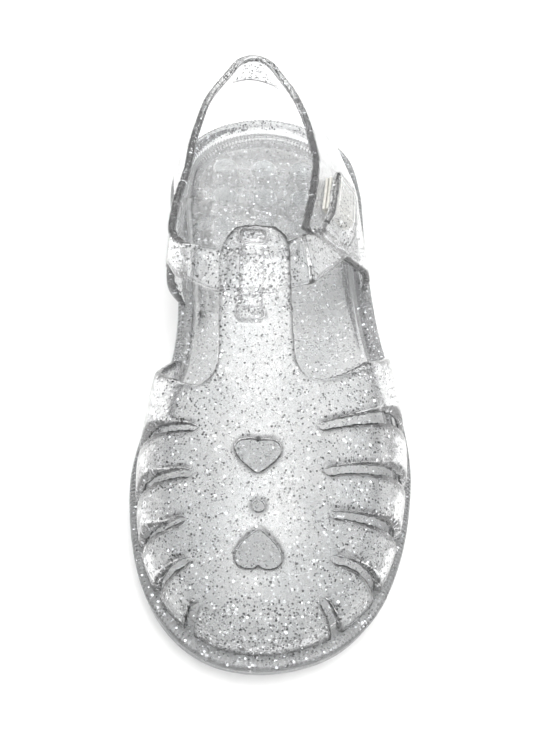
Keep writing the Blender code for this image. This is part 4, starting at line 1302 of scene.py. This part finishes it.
# %% Floor
FLOOR_AT = -0.0008


def paper():
    work = bmesh.new()
    bmesh.ops.create_grid(work, x_segments=8, y_segments=8, size=4.0)
    mesh = bpy.data.meshes.new("paper_floor")
    work.to_mesh(mesh)
    work.free()
    made = bpy.data.objects.new("paper_floor", mesh)
    made.location.z = FLOOR_AT
    bpy.context.scene.collection.objects.link(made)
    look, shader, noise, blend, bump = new_finish("white_paper_look")
    shader.inputs["Roughness"].default_value = 0.8
    blend(noise(12), (0.93, 0.93, 0.925, 1), (0.95, 0.95, 0.945, 1), shader.inputs["Base Color"])
    bump(noise(900), 0.05, 0.0001)
    dress(made, look)
    return made


print("floor:", paper().name)

# %% [markdown]
# ## The light
# Clear plastic only shows what is around it. The room is bright above and nearly black towards
# the horizon, which draws the grey edges. Its brightest part stands nearly overhead, a little in
# front of the shoe, and makes the broad highlight on the toe box. A lamp there would have a hard
# edge in the plastic, so the glow is painted into the room with a soft ramp. Two weak soft boxes
# at the sides light the flakes.

# %% Room light
world = bpy.data.worlds.new("studio")
bpy.context.scene.world = world
world.use_nodes = True
nodes, links = world.node_tree.nodes, world.node_tree.links
BRIGHTEST = (0.08, -0.20, 0.976)
ROOM_STRENGTH = 6.0
EXPOSURE = 0.18
BOX_POWER = 0.6
LEVELS = ((0.20, 0.014), (0.50, 0.135), (0.80, 0.24), (0.88, 0.34), (0.96, 0.60))
direction = nodes.new("ShaderNodeTexCoord")
towards = nodes.new("ShaderNodeVectorMath")
towards.operation = "DOT_PRODUCT"
towards.inputs[1].default_value = BRIGHTEST
sky = nodes.new("ShaderNodeValToRGB")
links.new(direction.outputs["Generated"], towards.inputs[0])
links.new(towards.outputs["Value"], sky.inputs["Fac"])
links.new(sky.outputs["Color"], nodes["Background"].inputs["Color"])
nodes["Background"].inputs["Strength"].default_value = ROOM_STRENGTH
sky.color_ramp.elements[0].color = (0.004, 0.004, 0.005, 1)
sky.color_ramp.elements[1].color = (0.80, 0.80, 0.80, 1)
for stop, level in LEVELS:
    sky.color_ramp.elements.new(stop).color = (level, level, level, 1)


def soft_box(name, at, width, depth, power):
    """A flat soft light that faces the shoe."""
    data = bpy.data.lights.new(name, "AREA")
    data.shape, data.size, data.size_y, data.energy = "RECTANGLE", width, depth, power
    lamp = bpy.data.objects.new(name, data)
    bpy.context.scene.collection.objects.link(lamp)
    lamp.location = at
    lamp.rotation_euler = (Vector((0, 0, 0.02)) - Vector(at)).to_track_quat("-Z", "Y").to_euler()


soft_box("soft_box_left", (-0.85, 0.15, 0.45), 0.5, 0.6, BOX_POWER)
soft_box("soft_box_right", (0.85, 0.25, 0.45), 0.5, 0.6, BOX_POWER)
bpy.context.scene.view_settings.view_transform = "Standard"
bpy.context.scene.view_settings.exposure = EXPOSURE
# light passes many walls of clear plastic before it comes out again
BOUNCES = 18
bpy.context.scene.cycles.max_bounces = BOUNCES
bpy.context.scene.cycles.transmission_bounces = BOUNCES
